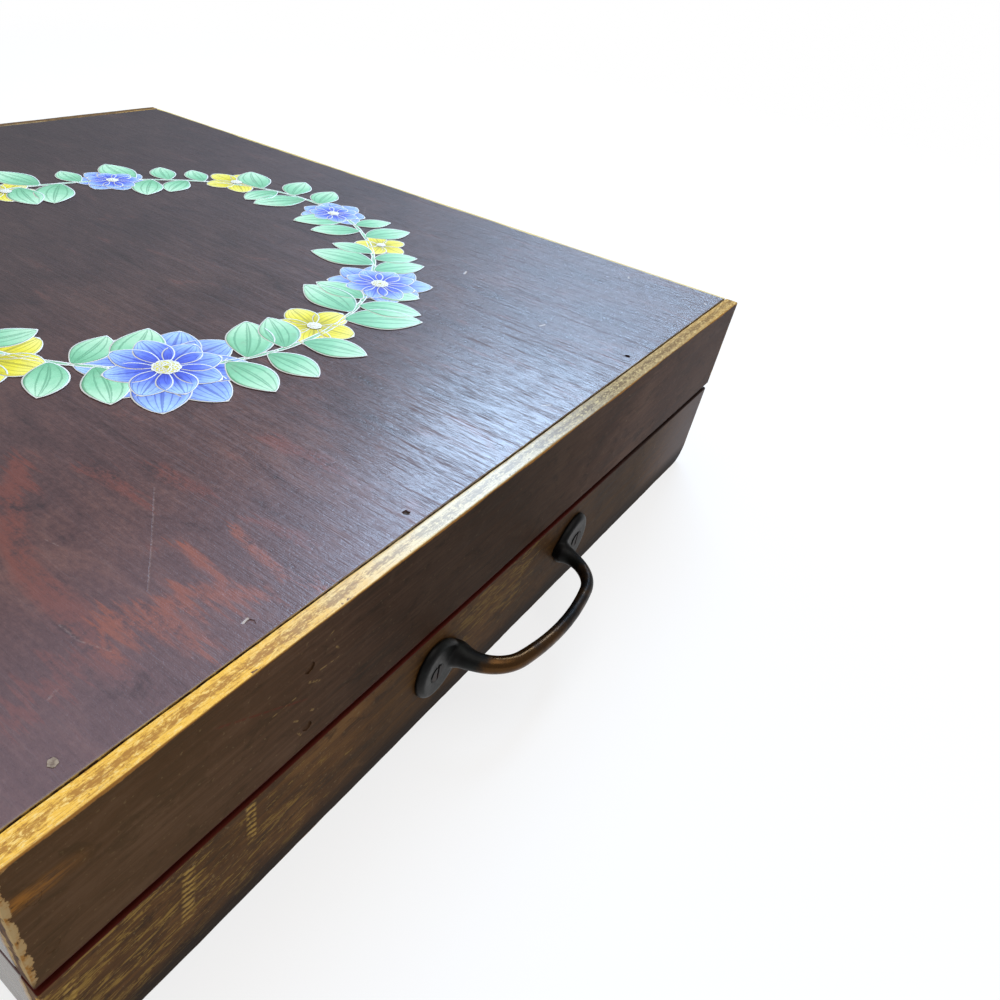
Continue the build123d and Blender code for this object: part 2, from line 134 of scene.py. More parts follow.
# %% Wires
class Wire:
    """The output of a node. Sums, differences, products and shares of it add Math nodes."""

    def __init__(self, finish, socket):
        self.finish, self.socket = finish, socket

    def beside(self, out):
        """Another output of the same node."""
        return Wire(self.finish, self.socket.node.outputs[out])

    def __add__(self, other):
        return self.finish.math("ADD", self, other)

    def __sub__(self, other):
        return self.finish.math("SUBTRACT", self, other)

    def __rsub__(self, other):
        return self.finish.math("SUBTRACT", other, self)

    def __mul__(self, other):
        return self.finish.math("MULTIPLY", self, other)

    def __truediv__(self, other):
        return self.finish.math("DIVIDE", self, other)

    def __abs__(self):
        return self.finish.math("ABSOLUTE", self)

    __radd__ = __add__
    __rmul__ = __mul__

    def soft(self, start, stop):
        """0 before start, 1 after stop and smooth between them. They may be in falling order."""
        return self.finish.node("ShaderNodeMapRange", {"interpolation_type": "SMOOTHSTEP"},
                                {"Value": self, "From Min": start, "From Max": stop})

    def tint(self, share, colour):
        """This colour with a share of another over it."""
        return self.finish.blend(share, self, colour)

    def layered(self, *layers):
        """This colour with layers over it, the lowest first. A layer is a share and a colour."""
        return reduce(lambda below, layer: below.tint(*layer), layers, self)


print("a wire adds", ", ".join(name.strip("_") for name in vars(Wire) if name.startswith("__r")), "too")

# %% Finishes
class Finish:
    """One procedural material. Its places and pattern sizes are in millimetres of the box's frame."""

    def __init__(self, name, **constants):
        self.material = bpy.data.materials.new(name)
        self.material.use_nodes = True
        self.tree = self.material.node_tree
        self.surface = self.tree.nodes["Principled BSDF"]
        for socket, value in constants.items():
            self.surface.inputs[socket.replace("_", " ")].default_value = value
        metres = self.node("ShaderNodeTexCoord", out="Object")
        self.place = self.vector("SCALE", {0: metres, "Scale": 1 / mm})
        self.x, self.y, self.z = self.split(self.place)

    def node(self, kind, settings=None, values=None, out=0):
        """Adds a node of any kind. Its values are wires, numbers or colour codes."""
        made = self.tree.nodes.new(kind)
        for key, value in (settings or {}).items():
            if key == "stops":
                self.set_stops(made.color_ramp, value)
            else:
                setattr(made, key, value)
        for key, value in (values or {}).items():
            if isinstance(value, Wire):
                self.tree.links.new(value.socket, made.inputs[key])
            else:
                made.inputs[key].default_value = paint(value) if isinstance(value, str) else value
        return Wire(self, made.outputs[out])

    def set_stops(self, colour_ramp, stops):
        while len(colour_ramp.elements) < len(stops):
            colour_ramp.elements.new(0.5)
        for element, (place, colour) in zip(colour_ramp.elements, stops):
            element.position, element.color = place, paint(colour)

    def math(self, operation, *values):
        return self.node("ShaderNodeMath", {"operation": operation}, dict(enumerate(values)))

    def vector(self, operation, values, out=0):
        return self.node("ShaderNodeVectorMath", {"operation": operation}, values, out)

    def split(self, vector):
        parts = self.node("ShaderNodeSeparateXYZ", values={0: vector})
        return [parts.beside(i) for i in range(3)]

    def noise(self, size, detail=3.0, rough=0.5, warp=0.0, seed=0.0):
        """Smooth noise from 0 to 1. Its patches are about size millimetres, or size[i] along each axis."""
        sizes = size if isinstance(size, tuple) else (size,) * 3
        scaled = self.vector("MULTIPLY_ADD", {
            0: self.place, 1: [1 / s for s in sizes], 2: (seed, 1.7 * seed, 2.3 * seed)})
        return self.node("ShaderNodeTexNoise", values={
            "Vector": scaled, "Scale": 1.0, "Detail": detail, "Roughness": rough, "Distortion": warp})

    def least(self, *values):
        return reduce(partial(self.math, "MINIMUM"), values)

    def most(self, *values):
        return reduce(partial(self.math, "MAXIMUM"), values)

    def blend(self, share, first, second):
        return self.node("ShaderNodeMix", {"data_type": "RGBA"}, {0: share, 6: first, 7: second}, out=2)

    def ramp(self, value, *stops):
        return self.node("ShaderNodeValToRGB", {"stops": stops}, {0: value})

    def bump(self, height, depth):
        """Relief whose height of 1 stands for depth millimetres."""
        return self.node("ShaderNodeBump", values={"Height": height, "Distance": depth * mm})

    def wear(self, **sockets):
        """Links what changes over the surface, and returns the material."""
        for socket, value in sockets.items():
            self.tree.links.new(value.socket, self.surface.inputs[socket.replace("_", " ")])
        return self.material


def paint(code):
    """A colour written as on a colour card, such as #a0522d, in Blender's linear light."""
    shares = [int(code[i:i + 2], 16) / 255 for i in (1, 3, 5)]
    return (*[s / 12.92 if s <= 0.04045 else ((s + 0.055) / 1.055) ** 2.4 for s in shares], 1.0)


print("a mid grey card renders as", round(paint("#808080")[0], 3), "of the light")

# %% [markdown]
# ## Studio
#
# Varnish shows what it reflects, so the lights matter as much as the stain. In the photograph a bluish
# window glows on the lid's right half, and the left half only gets soft light from above. Here a wide
# lamp above gives the soft light, a bluish one stands where the window was, and the pale world fills
# the shadows. The floor is white for the camera but keeps part of the box's shadow.

# %% Soft lamps and pale world
def soft_lamp(name, centre, aim, width, height, brightness, colour):
    """A rectangular lamp whose face is as bright as brightness times a lit white card."""
    data = bpy.data.lights.new(name, "AREA")
    data.shape = "RECTANGLE"
    data.size, data.size_y = width, height
    data.energy = pi * width * height * brightness
    data.color = colour
    lamp = in_scene(name, data)
    lamp.location = centre
    lamp.rotation_euler = (Vector(centre) - Vector(aim)).to_track_quat("Z", "Y").to_euler()


window_turn, window_rise, window_distance = radians(20.5), radians(39.5), 1.7
window_aim = Vector((0.03, -0.20, cad_box[1][2]))
window_way = Vector((cos(window_rise) * cos(window_turn), cos(window_rise) * sin(window_turn),
                     sin(window_rise)))
soft_lamp("window", window_aim + window_distance * window_way, window_aim, 0.74, 0.60, 20.5,
          (0.50, 0.71, 1.0))
soft_lamp("overhead", (-0.2, -0.3, 2.2), (0, 0, 0), 2.2, 2.2, 1.9, (1.0, 0.97, 0.93))

world = bpy.data.worlds.new("pale room")
world.use_nodes = True
world.node_tree.nodes["Background"].inputs["Color"].default_value = (0.45, 0.45, 0.46, 1.0)
bpy.context.scene.world = world
bpy.context.scene.view_settings.view_transform = "Standard"
print("window", window_distance, "m away")

# %% White floor
floor_reach = 60.0
shadow_share, shadow_start, shadow_end = 0.26, 0.6, 1.56
floor_mesh = bpy.data.meshes.new("floor")
floor_mesh.from_pydata([(x, y, 0.0) for x, y in ((-1, -1), (1, -1), (1, 1), (-1, 1))], [], [(0, 1, 2, 3)])
floor = in_scene("floor", floor_mesh)
floor.scale = (floor_reach, floor_reach, 1.0)

white_floor = Finish("white floor", Base_Color=(0.86, 0.86, 0.86, 1.0), Roughness=0.9,
                     Specular_IOR_Level=0.0)
rays = white_floor.node("ShaderNodeLightPath", out="Is Camera Ray")
seen = white_floor.least(rays + rays.beside("Is Glossy Ray") + rays.beside("Is Transmission Ray"), 1.0)
glow = white_floor.node("ShaderNodeEmission", values={"Color": (1.0, 1.0, 1.0, 1.0), "Strength": 1.0})
# The floor is a scaled square, so places on it count thousandths of its half side, not millimetres.
metre = 1 / (floor_reach * mm)
away = white_floor.math("SQRT", white_floor.x * white_floor.x + white_floor.y * white_floor.y)
near = away.soft(shadow_end * metre, shadow_start * metre)
lit = white_floor.node("ShaderNodeMixShader", values={
    0: seen * (1 - shadow_share * near), 1: Wire(white_floor, white_floor.surface.outputs[0]), 2: glow})
behind = white_floor.node("ShaderNodeNewGeometry", out="Backfacing")
clear = white_floor.node("ShaderNodeBsdfTransparent")
shown = white_floor.node("ShaderNodeMixShader", values={0: behind, 1: lit, 2: clear})
white_floor.tree.links.new(shown.socket, white_floor.tree.nodes["Material Output"].inputs["Surface"])
floor_mesh.materials.append(white_floor.material)
print("the floor keeps", shadow_share, "of the shadow within", shadow_start, "m of its middle")

# %% [markdown]
# ## Boards with worn edges
#
# A new board is a box, but an old one has no sharp edge left. Scaling a cube would leave the corners
# sharp, and a plain bevel would round them all alike. So each board is made as a fine net of points
# over the box, packed close together near the edges, and every point there is pulled onto a rounding
# whose radius wanders along the edge. The flat faces stay exactly where the packed model has them.

# %% A net over a box
near_rows = (0.0, 0.3, 0.6, 1.0, 1.6, 2.4)  # distances from an edge, as shares of its radius
slow_wave, quick_wave = 24 * mm, 3.5 * mm


def rows_between(low, high, radius, step):
    """Places along one side of a board, close together near its two ends."""
    near = [share * radius for share in near_rows if share * radius < 0.4 * (high - low)]
    inner = high - low - 2 * near[-1]
    count = max(1, ceil(inner / step))
    middle = [low + near[-1] + inner * i / count for i in range(1, count)]
    return [low + n for n in near] + middle + [high - n for n in reversed(near)]


def rounded(point, low, high, radius, wear, seed):
    """Pulls a point of the box onto an edge rounding whose radius wanders."""
    slow = wander(point / slow_wave + Vector((seed, 0, 0)))
    quick = wander(point / quick_wave + Vector((0, seed, 0)))
    local = radius * max(0.35, 1 + wear * (1.1 * slow + 0.9 * quick))
    local = min(local, 0.45 * min(b - a for a, b in zip(low, high)))
    inner = Vector([min(max(p, a + local), b - local) for p, a, b in zip(point, low, high)])
    away = point - inner
    return inner + away.normalized() * local if away.length > 0 else point


def add_board(mesh, low, high, radius, step, wear, seed):
    """Adds one closed board between two corners to a bmesh."""
    rows = [rows_between(a, b, radius, step) for a, b in zip(low, high)]
    last = [len(r) - 1 for r in rows]
    points = {}

    def corner(*index):
        if index not in points:
            place = Vector([r[i] for r, i in zip(rows, index)])
            points[index] = mesh.verts.new(rounded(place, low, high, radius, wear, seed))
        return points[index]

    for axis in range(3):
        u, v = [a for a in range(3) if a != axis]
        for end in (0, last[axis]):
            for i in range(last[u]):
                for j in range(last[v]):
                    loop = []
                    for di, dj in ((0, 0), (1, 0), (1, 1), (0, 1)):
                        index = [0, 0, 0]
                        index[axis], index[u], index[v] = end, i + di, j + dj
                        loop.append(corner(*index))
                    mesh.faces.new(loop)


print("rows beside a 1 mm edge:", [round(row, 2) for row in rows_between(0, 20, 1, 10)][:6])

# %% Separate solids of a packed piece
def solids_of(node):
    """The lowest and highest corner of each separate solid in a packed piece."""
    mesh = bmesh.new()
    mesh.from_mesh(frame["nodes"][node].data)
    left, found = set(mesh.verts), []
    while left:
        queue, group = [left.pop()], []
        while queue:
            vert = queue.pop()
            group.append(vert.co.copy())
            for edge in vert.link_edges:
                other = edge.other_vert(vert)
                if other in left:
                    left.remove(other)
                    queue.append(other)
        found.append([Vector([pick(p[i] for p in group) for i in range(3)]) for pick in (min, max)])
    mesh.free()
    return merged(found)


def merged(boxes):
    """Joins boxes that overlap or touch, because a face's corners can be split in the packed mesh."""
    done = []
    for low, high in boxes:
        for other in [b for b in done if all(low[i] <= b[1][i] + 1e-6 and high[i] >= b[0][i] - 1e-6
                                             for i in range(3))]:
            done.remove(other)
            low = Vector([min(a, b) for a, b in zip(low, other[0])])
            high = Vector([max(a, b) for a, b in zip(high, other[1])])
        done.append([low, high])
    return sorted(done, key=lambda box: tuple(round(c, 5) for c in box[0]))


print("nails through the lid's panel:", len(solids_of("lid_top_nails")))

# %% Pieces that stand for packed ones
crease = radians(38)


def keep_crisp(data):
    """Shades a mesh smoothly, apart from its true corners."""
    data.shade_smooth()
    data.set_sharp_from_angle(angle=crease)


def finished(mesh, name):
    """Turns a bmesh into a smooth mesh whose true corners stay crisp."""
    bmesh.ops.recalc_face_normals(mesh, faces=mesh.faces)
    data = bpy.data.meshes.new(name)
    mesh.to_mesh(data)
    mesh.free()
    keep_crisp(data)
    return data


def stand_in(name, data, material, *nodes):
    """Puts a new mesh on the body and the finish of the packed pieces that it stands for."""
    piece = in_scene(name, data)
    data.materials.append(material)
    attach(piece, body_of[nodes[0]])
    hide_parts(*nodes)
    return piece


def applied(piece):
    """The mesh that a piece's modifiers make of it."""
    bpy.context.view_layer.update()
    return bpy.data.meshes.new_from_object(piece.evaluated_get(bpy.context.evaluated_depsgraph_get()))


def repaint(node, material):
    """Gives a packed piece whose shape is right its material."""
    materials = frame["nodes"][node].data.materials
    materials.clear()
    materials.append(material)


def board_mesh(name, boxes, radius, step, wear, seed):
    mesh = bmesh.new()
    for low, high in boxes:
        add_board(mesh, low, high, radius * mm, step * mm, wear, seed)
    return finished(mesh, name)


print("edges sharper than", round(crease * 180 / pi), "degrees stay crisp")

# %% [markdown]
# ## Plywood edge and stain
#
# Each outer board is plywood, stained dark and varnished. Its faces show long grain, its cut edges show
# three plies, and along every edge the stain has rubbed through to yellow wood. One recipe serves all
# of them. It finds the distance to the board's nearest edge from the board's own box, which says where
# the plies lie and where hands have worn the stain away.

# %% Distances on a board
def middle_of(finish, a, b, c):
    """The second smallest of three distances, which on a face is the distance to its nearest edge."""
    return finish.most(finish.least(a, b), finish.least(finish.most(a, b), c))


def board_distances(finish, node):
    """How far a point is inside the board along X, Y and Z, in millimetres."""
    return [(b - a) / 2 - abs(part - (b + a) / 2)
            for part, a, b in zip((finish.x, finish.y, finish.z), *box_mm(node))]


def along_grain(axis, length, width):
    """The size of a grain pattern that is longer along one axis than across it."""
    return tuple(length if i == axis else width for i in range(3))


print("grain 60 mm long and 1.6 mm wide along X has the size", along_grain(0, 60, 1.6))

# %% Three plies of a cut edge
# Colours of the edge along the board, from its left end at 0 to its right end at 1.
# The middle stops are the wood's own colour, made paler and greyer by painted sheen.
bare_plies_and_sheen = ((0.18, "#eab748"), (0.34, "#d6c497"), (0.60, "#9b8c6c"), (0.95, "#b48e4b"))
soiled_plies_and_sheen = ((0.18, "#a06d2c"), (0.34, "#9a8560"), (0.60, "#6e5f49"), (0.95, "#7a5c30"))


def ply_edge(finish, depth_share, seed):
    """A bare plywood edge with its painted sheen. depth_share runs from 0 on the outer face to 1 inside."""
    fleck = finish.noise((2.0, 0.7, 0.9), detail=6, rough=0.80, warp=0.5, seed=seed)
    fibre = finish.noise((13, 0.35, 0.5), detail=3, rough=0.6, seed=seed + 1)
    sway = finish.noise(9, detail=4, rough=0.65, seed=seed + 3)
    core = abs(depth_share + (sway - 0.5) * 0.6 - 0.52).soft(0.32, 0.05)
    mottled = (fleck + core * 0.15 + (sway - 0.5) * 0.35 + (fibre - 0.5) * 0.20).soft(0.52, 0.70)
    along = finish.x / 400 + 0.5 + (sway - 0.5) * 0.15
    # Both ramps carry that painted sheen in the edge's middle.
    bare, soiled = finish.ramp(along, *bare_plies_and_sheen), finish.ramp(along, *soiled_plies_and_sheen)
    bare = bare.tint(fibre.soft(0.50, 0.66) * 0.45, soiled)
    bare = bare.tint(fleck.soft(0.50, 0.36) * 0.5, "#f0dc9c")
    return bare.tint(mottled * 0.9, soiled)


print("a bare edge runs from", bare_plies_and_sheen[0][1], "at the left to", bare_plies_and_sheen[-1][1], "at the right")

# %% Grain and mottle of a stained face
def stained_face(finish, along, tones, seed):
    """Long grain under cloudy stain: the colour of a face, with its grain, pores and mottle."""
    grain = finish.noise(along_grain(along, 60, 1.6), detail=4, rough=0.62, warp=0.3, seed=seed)
    pores = finish.noise(along_grain(along, 9, 0.35), detail=2, rough=0.6, seed=seed + 1)
    cloud = finish.noise((38, 38, 26), detail=3, rough=0.55, seed=seed + 2)
    streak = finish.noise(along_grain(along, 26, 2.6), detail=5, rough=0.7, warp=0.6, seed=seed + 6)
    mottle = finish.noise(along_grain(along, 11, 6), detail=6, rough=0.72, warp=0.9, seed=seed + 8)
    dust = finish.noise(1.3, detail=2, rough=0.5, seed=seed + 7)
    deep, mid, light, black = tones
    face = finish.ramp(grain * 0.55 + cloud * 0.45, (0.36, deep), (0.50, mid), (0.64, light)).layered(
        (pores.soft(0.58, 0.72) * 0.32, black),
        (streak.soft(0.56, 0.70) * 0.45, light), (streak.soft(0.44, 0.30) * 0.45, black),
        (mottle.soft(0.52, 0.66) * 0.45, light), (mottle.soft(0.47, 0.34) * 0.55, black),
        (dust.soft(0.64, 0.76) * 0.40, "#84704f"))
    return face, grain, pores, mottle


parting = (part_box("base_front_board")[1].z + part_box("lid_front_board")[0].z) / 2 / mm
rubbed_yellow, pale_wood = "#9a6a32", "#ab9166"
print("the lid and base part at", round(parting, 2), "mm")


# %% A stained board with worn edges
def stained(node, along, tones, seed, bare_top=0.0, rub=1.0, shine=0.06, rough=0.55, own_marks=None):
    """Material of an outer board. Its grain runs along X (0) or Y (1), and bare_top bares its top edge."""
    finish = Finish(node + " stain", Specular_IOR_Level=shine, Coat_Roughness=0.32)
    x, y, z = finish.x, finish.y, finish.z
    low, high = box_mm(node)
    inside_x, inside_y, inside_z = board_distances(finish, node)
    thin = 1 - along
    through, lengthwise = (inside_x, inside_y)[thin], (inside_x, inside_y)[along]
    face, grain, pores, mottle = stained_face(finish, along, tones, seed)
    if own_marks:
        face = own_marks(finish, face)

    edge = middle_of(finish, inside_x, inside_y, inside_z)
    nick = finish.noise(3.2, detail=4, rough=0.7, seed=seed + 4)
    drift = finish.noise(30, detail=2, seed=seed + 5)
    clear = abs(z - parting).soft(1.5, 6.0)
    corner_rub = lengthwise.soft(5, 0) * nick.soft(0.38, 0.60)
    reach = rub * (0.15 + 1.9 * drift.soft(0.35, 0.75) * nick + 1.5 * corner_rub) * clear
    worn = edge.soft(reach + 0.35, reach - 0.15) * clear
    face = face.tint(worn, finish.blend(corner_rub, rubbed_yellow, pale_wood))

    middle, thickness = (low[thin] + high[thin]) / 2, high[thin] - low[thin]
    inward = -1.0 if middle > 0 else 1.0
    depth_share = ((x, y)[thin] - middle) * inward / thickness + 0.5
    top = high[2]
    plies = ply_edge(finish, depth_share, seed).tint(z.soft(top - 3, top - 6) * 0.65, "#a3957e")
    sealed = finish.blend(nick.soft(0.40, 0.62) * 0.35, tones[1], rubbed_yellow)
    ragged_line = 1.3 * (nick + (drift - 0.5) * 0.5).soft(0.50, 0.72)
    bite = (depth_share * thickness - ragged_line).soft(0.05, 0.35)
    bare_part = z.soft(top - 2.5, top - 1.2) * bare_top * bite
    on_cut = (through - finish.least(lengthwise, inside_z)).soft(-0.15, 0.25)
    colour = face.tint(on_cut, sealed.tint(finish.most(bare_part, worn * 0.9), plies))

    back = depth_share.soft(1 - 0.5 / thickness, 1 - 0.1 / thickness)
    colour = colour.tint(back * (1 - on_cut), finish.ramp(grain, (0.35, "#4a3220"), (0.65, "#6b4a2e")))
    parting_line = finish.blend(x.soft(20, 120), "#42130a", "#2c1c16")
    colour = colour.tint(abs(z - parting).soft(2.3, 1.7), parting_line)
    gloss = z.soft(top - 1.2, top - 0.3) * on_cut * bare_top * x.soft(70, -30) * 0.7
    return finish.wear(
        Base_Color=colour, Roughness=rough + (grain - 0.5) * 0.25 + worn * 0.12, Coat_Weight=gloss,
        Normal=finish.bump(grain * 0.25 + pores * 0.25 + mottle * 0.3 + nick * worn * 0.6, 0.16))


# %% [markdown]
# ## Lid panel
#
# The lid's panel is peeled plywood: its grain runs from front to back, broad and flame-like. The stain
# is a purple brown that has rubbed to orange red in ragged streaks near the front left. The varnish is
# dull at the back and glossier towards the front. A coat on the front's middle gives the window's
# sheen, and the open grain breaks it up. The scratches and pale chips are short lines, so each is a
# distance to a line on the panel, and the red streaks are the same with frayed outlines.

# %% Streaks, scratches and chips
# Each has its two ends on the panel and its width, in mm.
rust_streaks = (
    ((-128, -120), (-140, -140), 6), ((-140, -140), (-147, -172), 7), ((-147, -172), (-153, -208), 7),
    ((-115, -132), (-110, -155), 4), ((-176, -199), (-158, -197), 6), ((-98, -190), (-92, -205), 4),
    ((-60, -160), (-58, -185), 5), ((-98, -150), (-96, -168), 4), ((-176, -140), (-184, -190), 6))
ember_streaks = (
    ((-147, -197), (-126, -201), 9), ((-128, -200), (-117, -209), 7), ((-107, -209), (-99, -221), 3.6),
    ((-118, -182), (-121, -198), 3.0), ((-104, -184), (-107, -203), 2.8), ((-142, -192), (-136, -212), 6))
panel_scratches = (
    ((-105, -157), (-120, -175), 0.36), ((-120, -175), (-133, -190), 0.36),
    ((-154, -185), (-154, -192), 0.42), ((-154, -192), (-151, -200), 0.36),
    ((-168, -202), (-165, -201), 0.4), ((-139, -156), (-138, -161), 0.3),
    ((96, -60), (150, -22), 0.3), ((60, 130), (92, 96), 0.35))
panel_chips = (
    ((88, -175), (91, -176), 0.6), ((112, -118), (115, -117), 0.8), ((-124.6, -214.9), (-122.8, -214.6), 0.5),
    ((179, -176), (181, -175), 0.6), ((179, -218), (180, -217), 0.6), ((26, -212), (29, -214), 0.4))


def mark(finish, place, start, stop, width, core):
    """1 along a short line between two points and 0 past its width. core is the even part of the width."""
    span = Vector(stop) - Vector(start)
    from_start = finish.vector("SUBTRACT", {0: place, 1: start})
    along = finish.vector("DOT_PRODUCT", {0: from_start, 1: span / span.length_squared}, out="Value")
    held = finish.most(finish.least(along, 1.0), 0.0)
    nearest = finish.vector("SCALE", {0: span, "Scale": held})
    gap = finish.vector("DISTANCE", {0: from_start, 1: nearest}, out="Value")
    return gap.soft(width, core * width)


def marks(finish, lines, on_board, place=None, core=0.3):
    """1 along each line of a list. on_board gives a point of the list its place on the box."""
    return finish.most(*[mark(finish, place or finish.place, on_board(*start), on_board(*stop), width, core)
                         for start, stop, width in lines])


print(len(rust_streaks + ember_streaks), "streaks,", len(panel_scratches), "scratches,",
      len(panel_chips), "chips")

# %% Stain of the panel, with a painted sheen
panel_low, panel_high = box_mm("lid_top_panel")


def on_panel(x, y):
    return x, y, panel_high[2]


def panel_colour(finish, grain, pores, broad, cloud, speck, lined):
    """The panel's purple brown stain, worn to red at the front left, darker at the back, and a painted sheen.
    """
    x, y = finish.x, finish.y
    to_front = y.soft(60, -180)
    warm = to_front * (0.40 + 0.60 * x.soft(30, -110))
    tone = (grain - 0.5) * lined * 0.26 + broad * 0.36 + cloud * 0.26 + speck * 0.26 + 0.06
    cool_side = finish.ramp(tone, (0.38, "#2c2022"), (0.50, "#3c2c2c"), (0.62, "#4b3936"))
    warm_side = finish.ramp(tone, (0.38, "#3a292c"), (0.50, "#543a39"), (0.62, "#6d4b43"))

    comb = finish.noise((1.9, 26, 6), detail=3, rough=0.62, seed=30)
    fray = finish.node("ShaderNodeCombineXYZ", values={0: (cloud - 0.5) * 22, 1: (comb - 0.5) * 46})
    frayed = finish.vector("ADD", {0: finish.place, 1: fray})
    patchy = (broad * 0.6 + speck * 0.4 + (grain - 0.5) * 0.3).soft(0.38, 0.56)
    flame = (broad + (comb - 0.5) * 0.35).soft(0.60, 0.72)
    return cool_side.layered(
        (warm, warm_side),
        (marks(finish, rust_streaks, on_panel, frayed, 0.25) * patchy * 0.66, "#733c32"),
        (marks(finish, ember_streaks, on_panel, frayed, 0.2) * patchy * 0.85, "#90492b"),
        (flame * (0.15 + 0.30 * to_front), "#704039"),
        # Painted sheen: the next layer lifts the front left to a pale mauve grey.
        (y.soft(-150, -215) * x.soft(0, -90) * 0.42, "#77646a"),
        ((broad + (grain - 0.5) * 0.30).soft(0.40, 0.28) * 0.38, "#262026"),
        (pores.soft(0.58, 0.72) * lined * 0.45, "#201719"),
        (y.soft(60, 200) * 0.35, "#1f191b"))


print("panel", [round(c) for c in panel_high - panel_low], "mm")


# %% Wear and varnish of the panel
def panel_material():
    finish = Finish("stained lid panel", Specular_IOR_Level=0.5, Coat_Roughness=0.30)
    x, y, z = finish.x, finish.y, finish.z
    inside_x, inside_y, inside_z = board_distances(finish, "lid_top_panel")

    grain = finish.noise((1.7, 34, 6), detail=4, rough=0.62, warp=0.5, seed=2)
    pores = finish.noise((0.5, 7, 4), detail=2, rough=0.6, seed=5)
    broad = finish.noise((13, 42, 20), detail=6, rough=0.68, warp=1.1, seed=9)
    cloud = finish.noise((45, 60, 40), detail=4, rough=0.6, seed=12)
    speck = finish.noise((1.6, 2.4, 2), detail=4, rough=0.75, seed=16)
    lined = 0.35 + 0.65 * x.soft(-130, -40)
    colour = panel_colour(finish, grain, pores, broad, cloud, speck, lined)

    scratches = marks(finish, panel_scratches, on_panel)
    chips = marks(finish, panel_chips, on_panel)
    ragged = finish.noise(1.2, detail=3, rough=0.7, seed=21)
    colour = colour.tint(scratches * ragged.soft(0.38, 0.62) * 0.24, "#a8948e")
    colour = colour.tint(chips * ragged.soft(0.25, 0.45) * 0.75, "#c3b8ae")

    edge = middle_of(finish, inside_x, inside_y, inside_z)
    nick = finish.noise(3.0, detail=4, rough=0.7, seed=14)
    drift = finish.noise(26, detail=2, seed=15)
    at_side = (inside_x - inside_y).soft(2.0, 0.0)
    reach = at_side * (1.5 + 2.0 * drift.soft(0.3, 0.7) * nick) + 0.05
    worn = edge.soft(reach + 0.3, reach - 0.2)
    colour = colour.tint(worn * 0.9, "#d6bd6a")

    plies = ply_edge(finish, inside_z / (panel_high[2] - panel_low[2]), 31)
    on_cut = (inside_z - finish.least(inside_x, inside_y)).soft(-0.15, 0.25)
    sealed = finish.blend(nick.soft(0.42, 0.60) * 0.5, "#4a3326", plies)
    colour = colour.tint(on_cut, sealed.tint(worn, plies))
    under = z.soft(panel_low[2] + 0.5, panel_low[2] + 0.1)
    colour = colour.tint(under * (1 - on_cut), finish.ramp(grain, (0.35, "#6d4c30"), (0.65, "#94704a")))

    dull_lines = (grain * 0.6 + pores * 0.4).soft(0.50, 0.66)
    roughness = 0.53 - 0.22 * y.soft(120, -180) + dull_lines * lined * 0.36 + (speck - 0.5) * 0.30 \
        + (broad - 0.5) * 0.12 + worn * 0.3
    height = (grain * 0.7 + pores * 0.5) * lined + speck * 0.35 - scratches * 0.08 - chips * 0.3
    open_grain = (pores * 0.55 + grain * 0.45).soft(0.43, 0.56)
    polished = y.soft(-130, -215) * abs(x - 5).soft(125, 5) * (1 - open_grain * 0.9)
    return finish.wear(Base_Color=colour, Roughness=roughness, Coat_Weight=polished * 0.75,
                       Normal=finish.bump(height, 0.34))


panel_finish = panel_material()
print("the panel's material has", len(panel_finish.node_tree.nodes), "nodes")

# %% [markdown]
# ## The outer boards
#
# The base's front is more worn than the lid's: between the handle's feet fingers have rubbed the stain
# off the ridges of the grain, and at the left it has long yellow streaks. The lid's front is darker,
# with a few fine scratches and a rubbed corner. The base's two lower corners are cut to a large radius,
# so the net over each base board is bent round there after its edges are rounded.

# %% Rubbed streaks on the base's front
# Each ladder of short rungs has its top and bottom as x and z, and its width, in mm.
rubbed_ladders = ((-136, 44, -136, 28, 2.2), (-157, 41, -159, 19, 2.6), (-190, 40, -192, 30, 2.4))


def base_marks(finish, face):
    """The base's front: yellow streaks, three ladders of short rungs, a dark low edge, a painted sheen."""
    x, z = finish.x, finish.z
    streak = finish.noise((9, 1.7, 1.7), detail=6, rough=0.75, warp=0.5, seed=41)
    between_feet = x.soft(-46, -34) * x.soft(34, 8) * z.soft(10, 26)
    left = x.soft(-60, -130) * z.soft(48, 40)
    low_left = x.soft(-120, -175)
    amount = finish.most(between_feet * 0.9, left * 0.66, low_left * 0.86)
    level = 0.66 - 0.17 * amount
    rubbed = streak.soft(level, level + 0.06) * amount.soft(0.02, 0.25)
    face = face.tint(rubbed * (0.58 + 0.30 * low_left), "#8d6e33")
    uneven = finish.noise(3, detail=3, rough=0.6, seed=44)
    rungs = finish.math("SINE", z * 2.6 + x * 0.5 + (uneven - 0.5) * 7)
    for x1, z1, x2, z2, width in rubbed_ladders:
        lean = x1 + (x2 - x1) / (z2 - z1) * (z - z1)
        ladder = abs(x - lean).soft(width, 0.5 * width) * z.soft(z2 - 2, z2) * z.soft(z1 + 2, z1)
        face = face.tint(ladder * rungs.soft(-0.4, 0.3) * uneven.soft(0.32, 0.50) * 0.75, "#a98743")
    return face.layered(
        (x.soft(0, 50) * x.soft(160, 110) * 0.60, "#261c14"), (abs(x + 20).soft(60, 20) * 0.28, "#2e2010"),
        # Painted sheen: the grey last layer on the next line greys the right end.
        (abs(x + 68).soft(28, 5) * 0.40, "#241808"), (x.soft(110, 190) * 0.78, "#69605e"),
        (z.soft(14, 4) * 0.88, "#1a100b"))


print(len(rubbed_ladders), "ladders of rubbed rungs")

